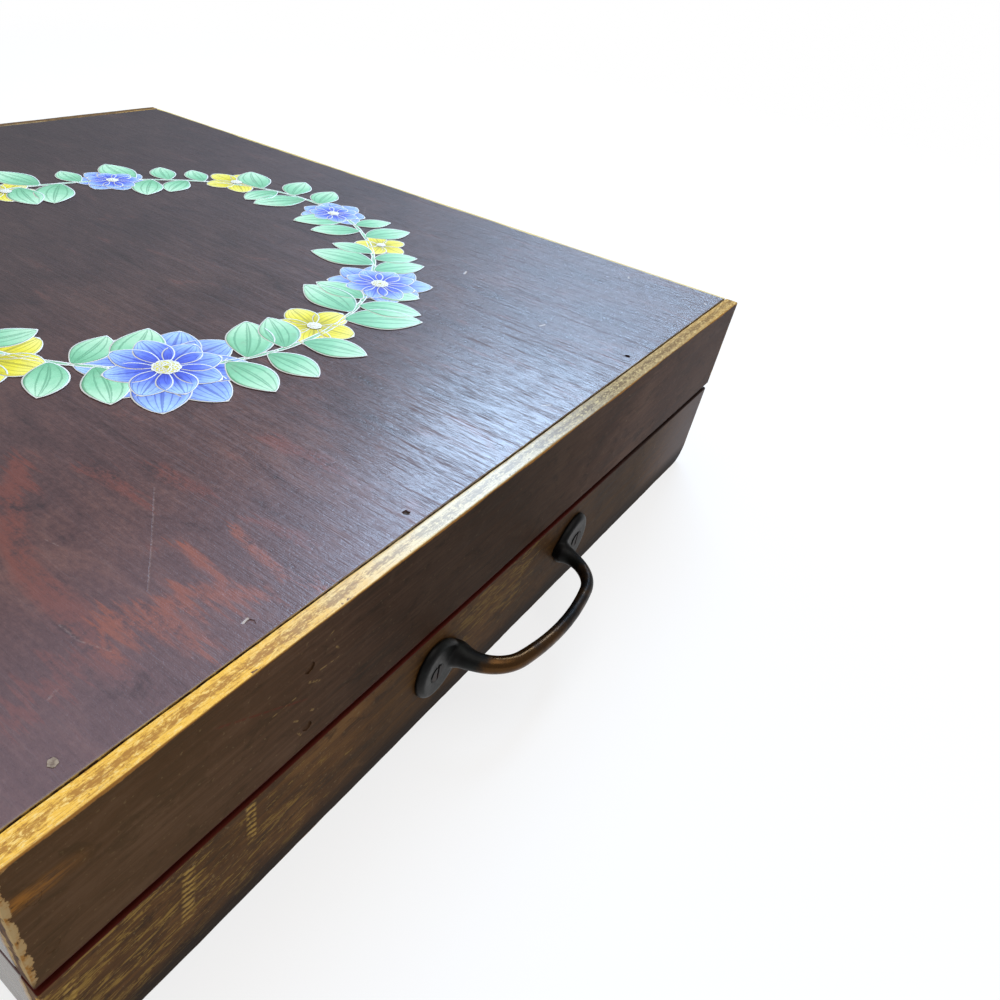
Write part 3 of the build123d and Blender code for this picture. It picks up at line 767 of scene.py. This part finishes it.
# %% Scratches on the lid's front
# Each has its two ends as x and z, and its width, in mm.
lid_front_scratches = (
    ((-111, 76.8), (-102, 75.6), 0.4), ((-115, 75.3), (-111, 72.7), 0.6),
    ((-109, 86.6), (-106.6, 87.9), 0.4), ((-128, 73.6), (-120, 73.6), 0.35),
    ((-105, 80.8), (-104, 79.6), 0.5), ((-114.4, 63.6), (-113, 62.4), 0.6),
    ((-120.5, 64.6), (-119, 63.2), 0.5), ((-118.8, 58), (-117.6, 56), 0.5))


def on_lid_front(x, z):
    return x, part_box("lid_front_board")[0].y / mm, z


def lid_front_marks(finish, face):
    """The lid's front: warmer at the left, pale scratches, a long red one, a rubbed corner and a painted
    sheen.
    """
    x, z = finish.x, finish.z
    ragged = finish.noise((2.0, 1.0, 1.0), detail=3, rough=0.7, seed=47)
    red_line = abs(z - 86 + (x + 145) * 0.57).soft(0.55, 0.2) * x.soft(-147, -144) * x.soft(-114, -118)
    corner = x.soft(-176, -194) * abs(z - 81 + (x + 190) * 0.1).soft(4.0, 0.5)
    streaky = finish.noise((7, 0.8, 0.8), detail=3, rough=0.7, seed=48)
    return face.layered(
        (x.soft(-60, -180) * 0.40, "#5c4320"), (x.soft(-140, -60) * x.soft(90, 0) * 0.62, "#261a0c"),
        # Painted sheen: the first layer on the next line greys the right end.
        (x.soft(20, 190) * 0.35, "#564d4c"), (red_line * ragged.soft(0.35, 0.55) * 0.6, "#5c2618"),
        (marks(finish, lid_front_scratches, on_lid_front) * ragged.soft(0.40, 0.58) * 0.5, "#9a7c4c"),
        (corner * streaky.soft(0.36, 0.60) * 0.75, "#9a6426"))


print(len(lid_front_scratches), "scratches on the lid's front")

# %% Lid and base boards
# The tones are the grain's deep, middle and light colours, and the black of its pores.
lid_ends = ("#3a2a20", "#4b392b", "#5c4a3a", "#241810")
base_ends = ("#3b2b1b", "#4d3a26", "#604a33", "#25180e")
case_boards = {
    "lid_front_board": dict(along=0, tones=("#342318", "#472f22", "#5c4435", "#1b120b"),
                            own_marks=lid_front_marks, bare_top=1.0, seed=1, shine=0.03),
    "lid_back_board": dict(along=0, tones=("#33261c", "#453528", "#54443a", "#20160f"), bare_top=0.15,
                           seed=7),
    "lid_left_end": dict(along=1, tones=lid_ends, seed=13, shine=0.5, rough=0.28),
    "lid_right_end": dict(along=1, tones=lid_ends, seed=19, shine=0.3, rough=0.4),
    "base_front_board": dict(along=0, tones=("#3b2710", "#523518", "#6b4a26", "#1f1207"),
                             own_marks=base_marks, seed=25, rub=0.7, shine=0.04),
    "base_back_board": dict(along=0, tones=("#382816", "#4c381f", "#5f482c", "#24170c"), seed=31),
    "base_left_end": dict(along=1, tones=base_ends, seed=37, shine=0.5, rough=0.28),
    "base_right_end": dict(along=1, tones=base_ends, seed=43, shine=0.3, rough=0.4)}
thin_edge, board_edge, panel_edge = 0.55, 0.7, 0.45
corner_radius = 10 * mm
corner_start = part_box("base_front_board")[1].x - corner_radius


def bend_low_corners(data):
    """Bends the net of a base board round the base's two lower corners."""
    for vert in data.vertices:
        u = (abs(vert.co.x) - corner_start) / corner_radius
        v = (corner_radius - vert.co.z) / corner_radius
        if u > 0 and v > 0:
            share = max(u, v) / hypot(u, v)
            vert.co.x = (corner_start + u * share * corner_radius) * (1 if vert.co.x > 0 else -1)
            vert.co.z = corner_radius - v * share * corner_radius


outer_boards = {}
for node, options in case_boards.items():
    radius = thin_edge if node == "lid_front_board" else board_edge
    data = board_mesh(node, [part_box(node)], radius, step=3.0, wear=0.6, seed=options["seed"])
    if node.startswith("base"):
        bend_low_corners(data)
    outer_boards[node] = stand_in("worn_" + node, data, stained(node, **options), node)
panel_data = board_mesh("panel", [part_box("lid_top_panel")], panel_edge, step=5.0, wear=0.6, seed=3)
outer_boards["lid_top_panel"] = stand_in("worn_lid_top_panel", panel_data, panel_finish, "lid_top_panel")
print(len(outer_boards), "outer boards,", sum(len(b.data.vertices) for b in outer_boards.values()), "points")

# %% [markdown]
# ## Inner woodwork
#
# The inside is bare pine and plywood gone brown with age, and the liner is stained red brown: its edge
# is the thin red line between lid and base. These pieces are simple boards, so a loop gives each
# the same soft edges, with the grain along its longest side. The liner boards keep their packed shape,
# because their planed-back lip is already right.

# %% Bare and red wood
def bare_wood(name, along, tones, seed, rough=0.62, shine=0.25):
    finish = Finish(name, Specular_IOR_Level=shine)
    grain = finish.noise(along_grain(along, 70, 2.4), detail=4, rough=0.6, warp=0.5, seed=seed)
    rings = finish.noise(along_grain(along, 160, 11), detail=2, rough=0.5, warp=0.8, seed=seed + 1)
    pores = finish.noise(along_grain(along, 8, 0.4), detail=2, seed=seed + 2)
    age = finish.noise(45, detail=3, seed=seed + 3)
    dark, mid, light = tones
    colour = finish.ramp(grain * 0.5 + rings * 0.5, (0.36, dark), (0.50, mid), (0.66, light))
    colour = colour.tint(pores.soft(0.60, 0.75) * 0.3, dark).tint(age.soft(0.50, 0.72) * 0.35, dark)
    return finish.wear(Base_Color=colour, Roughness=rough + (grain - 0.5) * 0.2,
                       Normal=finish.bump(grain * 0.5 + pores * 0.4, 0.12))


pine = ("#7d5a37", "#a07a4e", "#bb9765")
red_stain = ("#2a0d06", "#45170c", "#5e2615")
pine_along = [bare_wood("aged pine " + "xyz"[i], i, pine, seed=50 + 5 * i) for i in range(3)]
red_along = [bare_wood("red liner " + "xyz"[i], i, red_stain, seed=70 + 5 * i, shine=0.1) for i in range(2)]
dowel = bare_wood("smooth dowel", 2, ("#a98356", "#c7a374", "#dabd92"), seed=90, rough=0.45)
print("woods:", ", ".join(wood.name for wood in (*pine_along, *red_along, dowel)))


# %% Softened boards and repainted pieces
def longest_side(low, high):
    return max(range(3), key=lambda i: high[i] - low[i])


repaint("tray_grip_divider", pine_along[0])
repaint("spool_pegs", dowel)
for node in (name for name, slot in slot_of.items() if slot == "red_stained_wood"):
    repaint(node, red_along[longest_side(*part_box(node))])
inner_nodes = sorted(name for name, slot in slot_of.items() if slot in ("plain_wood", "plain_plywood"))
for index, node in enumerate(inner_nodes):
    if node != "tray_grip_divider":
        boxes = solids_of(node) if node in ("lid_front_posts", "lid_glue_blocks") else [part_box(node)]
        data = board_mesh(node, boxes, radius=0.5, step=12.0, wear=0.5, seed=3.7 * index)
        stand_in("soft_" + node, data, pine_along[longest_side(*boxes[0])], node)
print(len(inner_nodes), "pieces of bare wood")

# %% [markdown]
# ## Nails
#
# Most nails were driven level and stained over, and leave only a faint ring. Four in the panel's front
# row show: a filled one, a dished one, an open hollow with its dark head, and a lost nail's deep hole.
# Two are sunk into the lid's front. A painted dot would look flat, so for each nail a short irregular
# plug is cut out of the board with a Boolean modifier, and its head is a second plug inside.

# %% Hollows and heads
plug_sides, ragged_share = 14, 0.16


def plug(mesh, centre, normal, radius, top, bottom, seed, look=0):
    """Adds an irregular closed plug round a nail to a bmesh, from top to bottom below the surface."""
    turn = Vector(normal).to_track_quat("Z", "Y")
    chance = Random(seed)
    reach = [radius * (1 + chance.uniform(-ragged_share, ragged_share)) for _ in range(plug_sides)]
    upper, lower = [[mesh.verts.new(centre + turn @ Vector((r * cos(2 * pi * i / plug_sides),
                                                            r * sin(2 * pi * i / plug_sides), -depth)))
                     for i, r in enumerate(reach)] for depth in (top, bottom)]
    faces = [mesh.faces.new((upper[i], upper[i - 1], lower[i - 1], lower[i])) for i in range(plug_sides)]
    for face in faces + [mesh.faces.new(upper), mesh.faces.new(list(reversed(lower)))]:
        face.material_index = look


def cut_away(piece, cutter_mesh):
    """Cuts a closed mesh out of a piece and keeps the result as its mesh."""
    cutter = in_scene("cutter", finished(cutter_mesh, "cutter"))
    cut = piece.modifiers.new("hollows", "BOOLEAN")
    cut.operation, cut.object, cut.solver = "DIFFERENCE", cutter, "EXACT"
    shaped = applied(piece)
    piece.modifiers.clear()
    piece.data = shaped
    keep_crisp(shaped)
    bpy.data.objects.remove(cutter)


print("each plug has", plug_sides, "sides")

# %% Rusty iron and pale filler
iron = Finish("rusty nail iron", Metallic=0.6)
rust = iron.noise(0.8, detail=4, rough=0.7)
iron_finish = iron.wear(
    Base_Color=iron.ramp(rust, (0.35, "#17110e"), (0.55, "#3a2a20"), (0.72, "#5b3a24")),
    Roughness=rust * 0.4 + 0.4, Normal=iron.bump(rust, 0.12))

filler = Finish("pale filler", Roughness=0.8)
filler_grain = filler.noise(1.1, detail=4, rough=0.7)
filler_finish = filler.wear(
    Base_Color=filler.ramp(filler_grain, (0.35, "#6b5a4c"), (0.6, "#9a8a78")),
    Normal=filler.bump(filler_grain, 0.2))
print("heads of", iron_finish.name, "and", filler_finish.name)

# %% Setting the nails
head_radius, hollow_radius, nail_end = 1.6 * mm, 1.75 * mm, 3.9 * mm
head_below, filler_above, cutter_above = 0.04 * mm, 0.12 * mm, 1 * mm
iron_look, filler_look, board_look = 0, 1, 2
# Each kind of nail has its hollow's depth in mm, its share of the full width, and its head's look.
nail_kinds = {"painted": (0.06, 1.0, board_look), "filled": (0.06, 0.72, filler_look),
              "sunk": (0.45, 1.0, board_look), "dished": (0.3, 0.75, board_look),
              "open": (0.5, 0.7, iron_look), "lost": (3.3, 0.7, iron_look)}
panel_nails = {-176.1: "filled", -123.3: "dished", -61.5: "open", 91.8: "lost"}
front_row, sunk_place = -200, -115
nailed_boards = {"lid_top_nails": {"lid_top_panel": (0, 0, 1)},
                 "lid_board_nails": {"lid_front_board": (0, -1, 0), "lid_back_board": (0, 1, 0)},
                 "base_board_nails": {"base_front_board": (0, -1, 0), "base_back_board": (0, 1, 0)}}


def kind_of(nodes, x, y):
    """Nearly all nails are stained over. Only four of the panel's front row and two below it show."""
    if nodes == "lid_top_nails" and y < front_row:
        return next((kind for at, kind in panel_nails.items() if abs(x - at) < 3), "painted")
    return "sunk" if nodes == "lid_board_nails" and y < 0 and abs(x - sunk_place) < 20 else "painted"


for nodes, boards in nailed_boards.items():
    cutters = {board: bmesh.new() for board in boards}
    heads = bmesh.new()
    for index, (low, high) in enumerate(solids_of(nodes)):
        centre = (low + high) / 2
        kind = kind_of(nodes, centre.x / mm, centre.y / mm)
        behind = len(boards) == 2 and centre.y >= 0
        board, normal = list(boards.items())[behind]
        if nodes == "lid_top_nails":
            centre.z = high.z
        else:
            centre.y = high.y if centre.y > 0 else low.y
        depth, wide, look = nail_kinds[kind]
        plug(cutters[board], centre, normal, hollow_radius * wide, -cutter_above, depth * mm, index)
        top = -filler_above if kind == "filled" else depth * mm - head_below
        plug(heads, centre, normal, head_radius * wide, top, nail_end, index + 100,
             look + behind if look == board_look else look)
    for board, cutter in cutters.items():
        cut_away(outer_boards[board], cutter)
    heads_piece = stand_in("set_" + nodes, finished(heads, nodes), iron_finish, nodes)
    for material in (filler_finish, *[outer_boards[board].data.materials[0] for board in boards]):
        heads_piece.data.materials.append(material)
print(len(panel_nails), "nails show on the panel")

# %% [markdown]
# ## Handle
#
# The handle is one bronze casting: two oval feet, a root that flares out of each, and a bar in a long
# shallow bow. Separate solids would meet in hard lines, which a casting never has. So the feet and the
# bar are made as simple closed shapes, melted together by a voxel remesh, and smoothed until the
# joints are filleted.

# %% Measures of the handle, in mm
foot_place, foot_width, foot_height, foot_thickness, egg_share = 48.4, 24.0, 23.9, 3.2, 0.2
# The foot's outline, from its rim on the board to near its middle: a share of its size, and the rise.
foot_profile = ((1.0, 0.0), (1.0, 0.8), (0.98, 1.6), (0.945, 2.4), (0.89, 2.95), (0.83, 3.2), (0.60, 3.05),
                (0.30, 2.9))
leg_place, leg_length, corner_bend, bow_radius = 38.5, 4.0, 18.0, 110.0
middle_radius, leg_gain, root_gain, root_reach, lean_gain, oval = 2.5, 1.0, 1.3, 9.0, 0.35, 1.04
screw_place, seat_radius, seat_depth = 51.0, 3.7, 0.45
face_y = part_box("base_front_board")[0].y / mm
handle_low, handle_high = box_mm("handle")
handle_x, handle_z = (handle_low.x + handle_high.x) / 2, (handle_low.z + handle_high.z) / 2
bow_out = face_y - handle_low.y - middle_radius
print("the bar stands", round(bow_out, 1), "mm off the board")


# %% Rings of the feet
def add_rings(mesh, rings):
    """Joins equal rings of points into one closed shape."""
    loops = [[mesh.verts.new(Vector(p) * mm) for p in ring] for ring in rings]
    for first, second in zip(loops, loops[1:]):
        for i in range(len(first)):
            mesh.faces.new((first[i - 1], first[i], second[i], second[i - 1]))
    mesh.faces.new(list(reversed(loops[0])))
    mesh.faces.new(loops[-1])


def foot_rings(side, sides=56):
    """An oval dome, a little taller at its outer end. side is -1 for the left foot and 1 for the right."""
    turns = [2 * pi * i / sides for i in range(sides)]
    return [[(handle_x + side * foot_place + share * foot_width / 2 * cos(turn), face_y - rise,
              handle_z + share * (1 + egg_share * side * cos(turn)) * foot_height / 2 * sin(turn))
             for turn in turns] for share, rise in foot_profile]


print("a foot has", len(foot_rings(1)), "rings")


# %% Path and thickness of the bar
def bar_path():
    """Points along the middle of the bar, from one foot to the other."""
    corner_x, corner_y = leg_place - corner_bend, face_y - leg_length
    centre_y = corner_y + sqrt((bow_radius - corner_bend) ** 2 - corner_x ** 2)
    half = atan2(corner_x, centre_y - corner_y)
    leg = [(-leg_place - 0.4 * (leg_length - out), face_y - out) for out in (0.4, 1.2, 2.0, 2.8, 3.4)]
    corner = [(-corner_x - corner_bend * cos(turn), corner_y - corner_bend * sin(turn))
              for turn in ((pi / 2 - half) * t / 18 for t in range(19))]
    bow = [(bow_radius * sin(turn), centre_y - bow_radius * cos(turn))
           for turn in (-half + 2 * half * t / 30 for t in range(1, 30))]
    return leg + corner + bow + [(-x, y) for x, y in reversed(leg + corner)]


def bar_radius(x, out):
    """The bar is thinnest in the middle, a little thicker on its left, and flares into the feet."""
    leg = max(0.0, 1 - out / bow_out) ** 0.7
    root = max(0.0, 1 - max(0.0, out - foot_thickness) / root_reach) ** 2
    return middle_radius + leg_gain * leg + root_gain * root - lean_gain * x / leg_place


def bar_rings(sides=28):
    """Rings square to the bar's path, a little taller than they are deep."""
    path = bar_path()
    rings = []
    for i, (x, y) in enumerate(path):
        before, after = path[max(i - 1, 0)], path[min(i + 1, len(path) - 1)]
        way = Vector((after[0] - before[0], after[1] - before[1], 0)).normalized()
        side = Vector((way.y, -way.x, 0))
        radius = bar_radius(x, face_y - y)
        rings.append([Vector((handle_x + x, y, handle_z)) + side * radius * cos(2 * pi * k / sides)
                      + Vector((0, 0, oval * radius * sin(2 * pi * k / sides))) for k in range(sides)])
    return rings


print("the bar has", len(bar_path()), "rings")

# %% Feet and bar melted together
voxel, smoothing_rounds, skin = 0.40 * mm, 14, 0.03 * mm
handle_shape = bmesh.new()
for side in (-1, 1):
    add_rings(handle_shape, foot_rings(side))
add_rings(handle_shape, bar_rings())
casting = in_scene("casting", finished(handle_shape, "handle_cast"))
melt = casting.modifiers.new("melt", "REMESH")
melt.mode, melt.voxel_size = "VOXEL", voxel
ease = casting.modifiers.new("ease", "SMOOTH")
ease.factor, ease.iterations = 0.5, smoothing_rounds
cast_data = applied(casting)
bpy.data.objects.remove(casting)

# The feet end flat on the board, each screw gets a round seat, and the skin stays a little uneven.
for vert in cast_data.vertices:
    point = vert.co / mm
    vert.co.y = min(vert.co.y, face_y * mm)
    gap = hypot(abs(point.x - handle_x) - screw_place, point.z - handle_z)
    seat_y = face_y - foot_thickness + seat_depth
    if gap < seat_radius and point.y > face_y - foot_thickness - 1.0:
        vert.co.y = max(vert.co.y, seat_y * mm)
    vert.co += Vector((0, skin * wander(point / 4.1), skin * wander(point / 5.3)))
cast_data.shade_smooth()
print("handle cast from", len(cast_data.vertices), "points")

# %% [markdown]
# ## Bronze and brass
#
# The bronze is almost black where nobody touches it, with a green-blue bloom on the feet, and the bar
# is rubbed to a warm copper brown. The hinges and hooks are plain brass gone dull. Both are one recipe:
# a dark patina over bright metal, with a noise that decides where the patina has gone.

# %% Patinated metals
def old_metal(name, bright, patina, bloom, rubbed=0.0, handled=None, rough=(0.3, 0.62), shine=0.5,
              seed=0.0):
    """rubbed says how far the patina has gone everywhere, and handled(finish) where hands add to it."""
    finish = Finish(name, Specular_IOR_Level=shine)
    fine = finish.noise(1.1, detail=4, rough=0.65, seed=seed)
    patch = finish.noise(7, detail=4, rough=0.6, seed=seed + 2)
    worn = patch * 0.8 + fine * 0.2 + (rubbed - 0.5)
    if handled:
        worn = worn + handled(finish)
    clean = worn.soft(0.30, 0.75)
    colour = finish.blend(patch.soft(0.45, 0.68), patina, bloom).tint(clean, bright)
    roughness = rough[1] - (rough[1] - rough[0]) * clean + (fine - 0.5) * 0.2
    return finish.wear(Base_Color=colour, Metallic=0.35 + 0.6 * clean, Roughness=roughness,
                       Normal=finish.bump(fine * 0.6 + patch * 0.4, 0.05))


def held(finish):
    """Hands rub the bar, and its left shoulder most."""
    return finish.y.soft(face_y - 7, face_y - 17) * (0.42 + 0.25 * finish.x.soft(5, -25))


bronze = old_metal("patinated bronze", "#51381f", "#0a0908", "#131614", handled=held,
                   rough=(0.24, 0.46), shine=0.2)
brass = old_metal("dull brass", "#b08a48", "#4a3a1e", "#5d4a2a", rubbed=0.35, seed=6)
screw_bronze = old_metal("screw bronze", "#4a2a20", "#17110f", "#2c1a15", rubbed=0.25, seed=8)
stand_in("cast_handle", cast_data, bronze, "handle")
repaint("handle_screws", screw_bronze)
brass_nodes = [node for node, slot in slot_of.items() if slot == "aged_brass"]
for node in brass_nodes:
    repaint(node, brass)
print("brass on", len(brass_nodes), "pieces")

# %% [markdown]
# ## Paper flowers
#
# Paper flowers are pasted on the lid, cut out with a thin white margin. The design is a plain garden
# one: an oval wreath of blue daisies, small yellow blossoms and mint leaves. Every petal and leaf is
# the same shape, a strip that widens and narrows along its middle line, so one function makes them all.
# It also stores where each point lies on its petal, and the print's veins and margin use that.

# %% A petal of paper
lid_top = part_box("lid_top_panel")[1].z
paper, paper_rise, rim_curl = 0.16 * mm, 0.10, 0.05
petal_rows, petal_columns = 14, 8


def add_petal(mesh, layer, base, direction, length, width, shape, lift, bend=0.0):
    """Adds one petal or leaf. Angles are in degrees, sizes in mm, and a low shape makes its ends blunt."""
    grid = []
    heading = radians(direction)
    spot = Vector(base)
    for i in range(petal_rows + 1):
        u = i / petal_rows
        half = max(0.02, sin(pi * u) ** shape) * width / 2
        across = Vector((-sin(heading), cos(heading)))
        row = []
        for j in range(petal_columns + 1):
            v = 2 * j / petal_columns - 1
            flat = spot + across * (v * half)
            rise = lid_top / mm + paper_rise + lift + rim_curl * v * v
            vert = mesh.verts.new(Vector((flat.x, flat.y, rise)) * mm)
            rim = min(half * (1 - abs(v)), length * min(u, 1 - u) * 0.6)
            vert[layer] = Vector((u, v, rim))
            row.append(vert)
        grid.append(row)
        heading += radians(bend) / petal_rows
        spot = spot + Vector((cos(heading), sin(heading))) * (length / petal_rows)
    for first, second in zip(grid, grid[1:]):
        for a, b, c, d in zip(first, first[1:], second[1:], second):
            mesh.faces.new((a, b, c, d))


def paper_piece(name, material, draw):
    """A mesh of petals that draw adds, with the thickness of paper, on the lid."""
    mesh = bmesh.new()
    draw(mesh, mesh.verts.layers.float_vector.new("petal"))
    data = bpy.data.meshes.new(name)
    mesh.to_mesh(data)
    mesh.free()
    piece = in_scene(name, data)
    thick = piece.modifiers.new("paper", "SOLIDIFY")
    thick.thickness, thick.offset = paper, -1
    solid = applied(piece)
    piece.modifiers.clear()
    piece.data = solid
    solid.shade_smooth()
    solid.materials.clear()
    solid.materials.append(material)
    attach(piece, "lid")


print("a petal is a strip of", petal_rows, "by", petal_columns, "faces")


# %% Printed colours
def print_finish(name, root, middle, tip, vein, veins=7.0, seed=0.0):
    """Petal colours that change from root to tip, with fine veins and a pale cut margin."""
    finish = Finish(name, Specular_IOR_Level=0.35)
    u, v, rim = finish.split(finish.node("ShaderNodeAttribute", {"attribute_name": "petal"}, out="Vector"))
    brush = finish.noise(2.2, detail=3, rough=0.6, seed=seed)
    wash = finish.noise(9, detail=2, seed=seed + 1)
    grime = finish.noise(14, detail=4, rough=0.7, seed=seed + 5)
    tone = u + (brush - 0.5) * 0.30 + (wash - 0.5) * 0.35
    wave = finish.math("SINE", v * (veins * pi) + (brush - 0.5) * 1.2)
    colour = finish.ramp(tone, (0.08, root), (0.45, middle), (0.90, tip)).layered(
        (wave.soft(0.72, 0.98) * u.soft(0.04, 0.2) * 0.55, vein), (abs(v).soft(0.07, 0.02) * 0.6, vein),
        (rim.soft(0.95, 0.75) * 0.5, vein), (rim.soft(0.62, 0.45), "#e8ece9"),
        (grime.soft(0.56, 0.75) * 0.25, "#8a7f72"))
    return finish.wear(Base_Color=colour, Roughness=0.42 + (brush - 0.5) * 0.2)


blue_print = print_finish("blue petals", "#3445b8", "#5b74e0", "#a9cdf6", "#2a3aa0", seed=3)
yellow_print = print_finish("yellow petals", "#b9b12c", "#e6dc3c", "#f2ee7e", "#8d8a2c", seed=8)
green_print = print_finish("mint leaves", "#6fb58c", "#8fd0a8", "#bfe9c9", "#4c8f6c", veins=4.0, seed=14)
stem_print = print_finish("stems", "#7fb894", "#8cc39c", "#a8d6b0", "#5d9a78", veins=1.0, seed=19)
print("prints:", ", ".join(each.name for each in (blue_print, yellow_print, green_print, stem_print)))

# %% Where the flowers lie
wreath_centre, wreath_reach, wreath_sway = Vector((8, -4)), Vector((118, 112)), 0.045


def on_wreath(angle, out=0.0):
    """A point on the oval wreath, out millimetres outside it, for an angle in degrees."""
    turn = radians(angle)
    sway = 1 + wreath_sway * sin(3 * turn + 1.0)
    ray = Vector((cos(turn), sin(turn)))
    return wreath_centre + sway * Vector((ray.x * wreath_reach.x, ray.y * wreath_reach.y)) + out * ray


# A flower has its angle on the wreath, how far out it lies, its reach, a daisy's count and petal width.
daisies = [(*on_wreath(angle, out), reach, count, width) for angle, out, reach, count, width in (
    (238, 0, 29, 8, 19), (300, 4, 22, 8, 15), (352, -3, 17, 7, 14), (178, 2, 25, 8, 17), (122, 3, 21, 7, 16),
    (62, 0, 18, 7, 14))]
blossoms = [(*on_wreath(angle, out), reach, 5, width) for angle, out, reach, width in (
    (271, -6, 17, 15), (208, 6, 21, 18), (28, 4, 18, 15),
    (92, -4, 16, 14), (150, -2, 19, 16), (326, 6, 13, 11))]
# A sprig has the angles that it starts and stops at, and its count of leaves.
sprigs = ((216, 232, 4), (246, 266, 5), (276, 296, 5), (306, 322, 4), (330, 348, 4), (358, 382, 5),
          (34, 58, 5), (68, 90, 4), (98, 118, 4), (128, 148, 4), (156, 174, 4), (184, 204, 4))
# How far over the lowest paper each layer lies, in mm.
stem_lift, leaf_lift, blossom_lift, next_lift = 0.03, 0.08, 0.02, 0.012
inner_ring_lift, centre_lift = 0.18, 0.36
daisy_heart, blossom_heart, stem_step, stem_width = 2.2, 1.5, 6, 2.4


def off(x, y, reach, angle):
    """A point reach millimetres from another one, at an angle in degrees."""
    return x + reach * cos(radians(angle)), y + reach * sin(radians(angle))


# %% Petals, leaves and stems
def draw_daisies(mesh, layer):
    for number, (x, y, reach, count, width) in enumerate(daisies):
        chance = Random(number)
        for ring, (share, lift) in enumerate(((1.0, 0.0), (0.72, inner_ring_lift))):
            for i in range(count):
                angle = 360 * (i + 0.5 * ring) / count + chance.uniform(-5, 5)
                add_petal(mesh, layer, off(x, y, daisy_heart, angle), angle,
                          reach * share * chance.uniform(0.9, 1.05), width * share * 1.1,
                          bend=chance.uniform(-14, 14), lift=lift + next_lift * (i % 3), shape=0.7)


def draw_blossoms(mesh, layer):
    for number, (x, y, reach, count, width) in enumerate(blossoms):
        chance = Random(20 + number)
        for i in range(count):
            angle = 360 * i / count + 11 * number + chance.uniform(-4, 4)
            add_petal(mesh, layer, off(x, y, blossom_heart, angle), angle,
                      reach * chance.uniform(0.94, 1.04), width, lift=next_lift * (i % 3) + blossom_lift,
                      shape=0.62)


def draw_centres(mesh, layer):
    for x, y, reach, _, _ in daisies + blossoms:
        size = 0.24 * reach
        for i in range(9):
            add_petal(mesh, layer, off(x, y, -0.2 * size, 40 * i), 40 * i, size, 0.9 * size,
                      lift=centre_lift + 0.01 * (i % 3), shape=0.6)


def stem_way(angle):
    """The direction of the wreath's stem in degrees."""
    step = on_wreath(angle + 1) - on_wreath(angle - 1)
    return atan2(step.y, step.x) * 180 / pi


def draw_stems(mesh, layer):
    for angle in range(0, 360, stem_step):
        span = (on_wreath(angle + stem_step) - on_wreath(angle)).length
        add_petal(mesh, layer, on_wreath(angle - 0.7), stem_way(angle), span * 1.24, stem_width,
                  bend=stem_way(angle + 3) - stem_way(angle - 3), lift=stem_lift, shape=0.25)


def draw_leaves(mesh, layer):
    for number, (start, stop, count) in enumerate(sprigs):
        chance = Random(60 + number)
        for i in range(count):
            angle = start + (stop - start) * (i + 0.5) / count
            side = 1 if i % 2 else -1
            size = chance.uniform(22, 35)
            add_petal(mesh, layer, on_wreath(angle), stem_way(angle) + side * chance.uniform(42, 74), size,
                      0.60 * size, bend=side * 22, lift=leaf_lift + next_lift * i, shape=0.8)


for name, material, draw in (("paper_stems", stem_print, draw_stems),
                             ("paper_leaves", green_print, draw_leaves),
                             ("paper_daisies", blue_print, draw_daisies),
                             ("paper_blossoms", yellow_print, draw_blossoms),
                             ("paper_centres", yellow_print, draw_centres)):
    paper_piece(name, material, draw)
print(len(daisies), "daisies,", len(blossoms), "blossoms,", len(sprigs), "sprigs")

# %% [markdown]
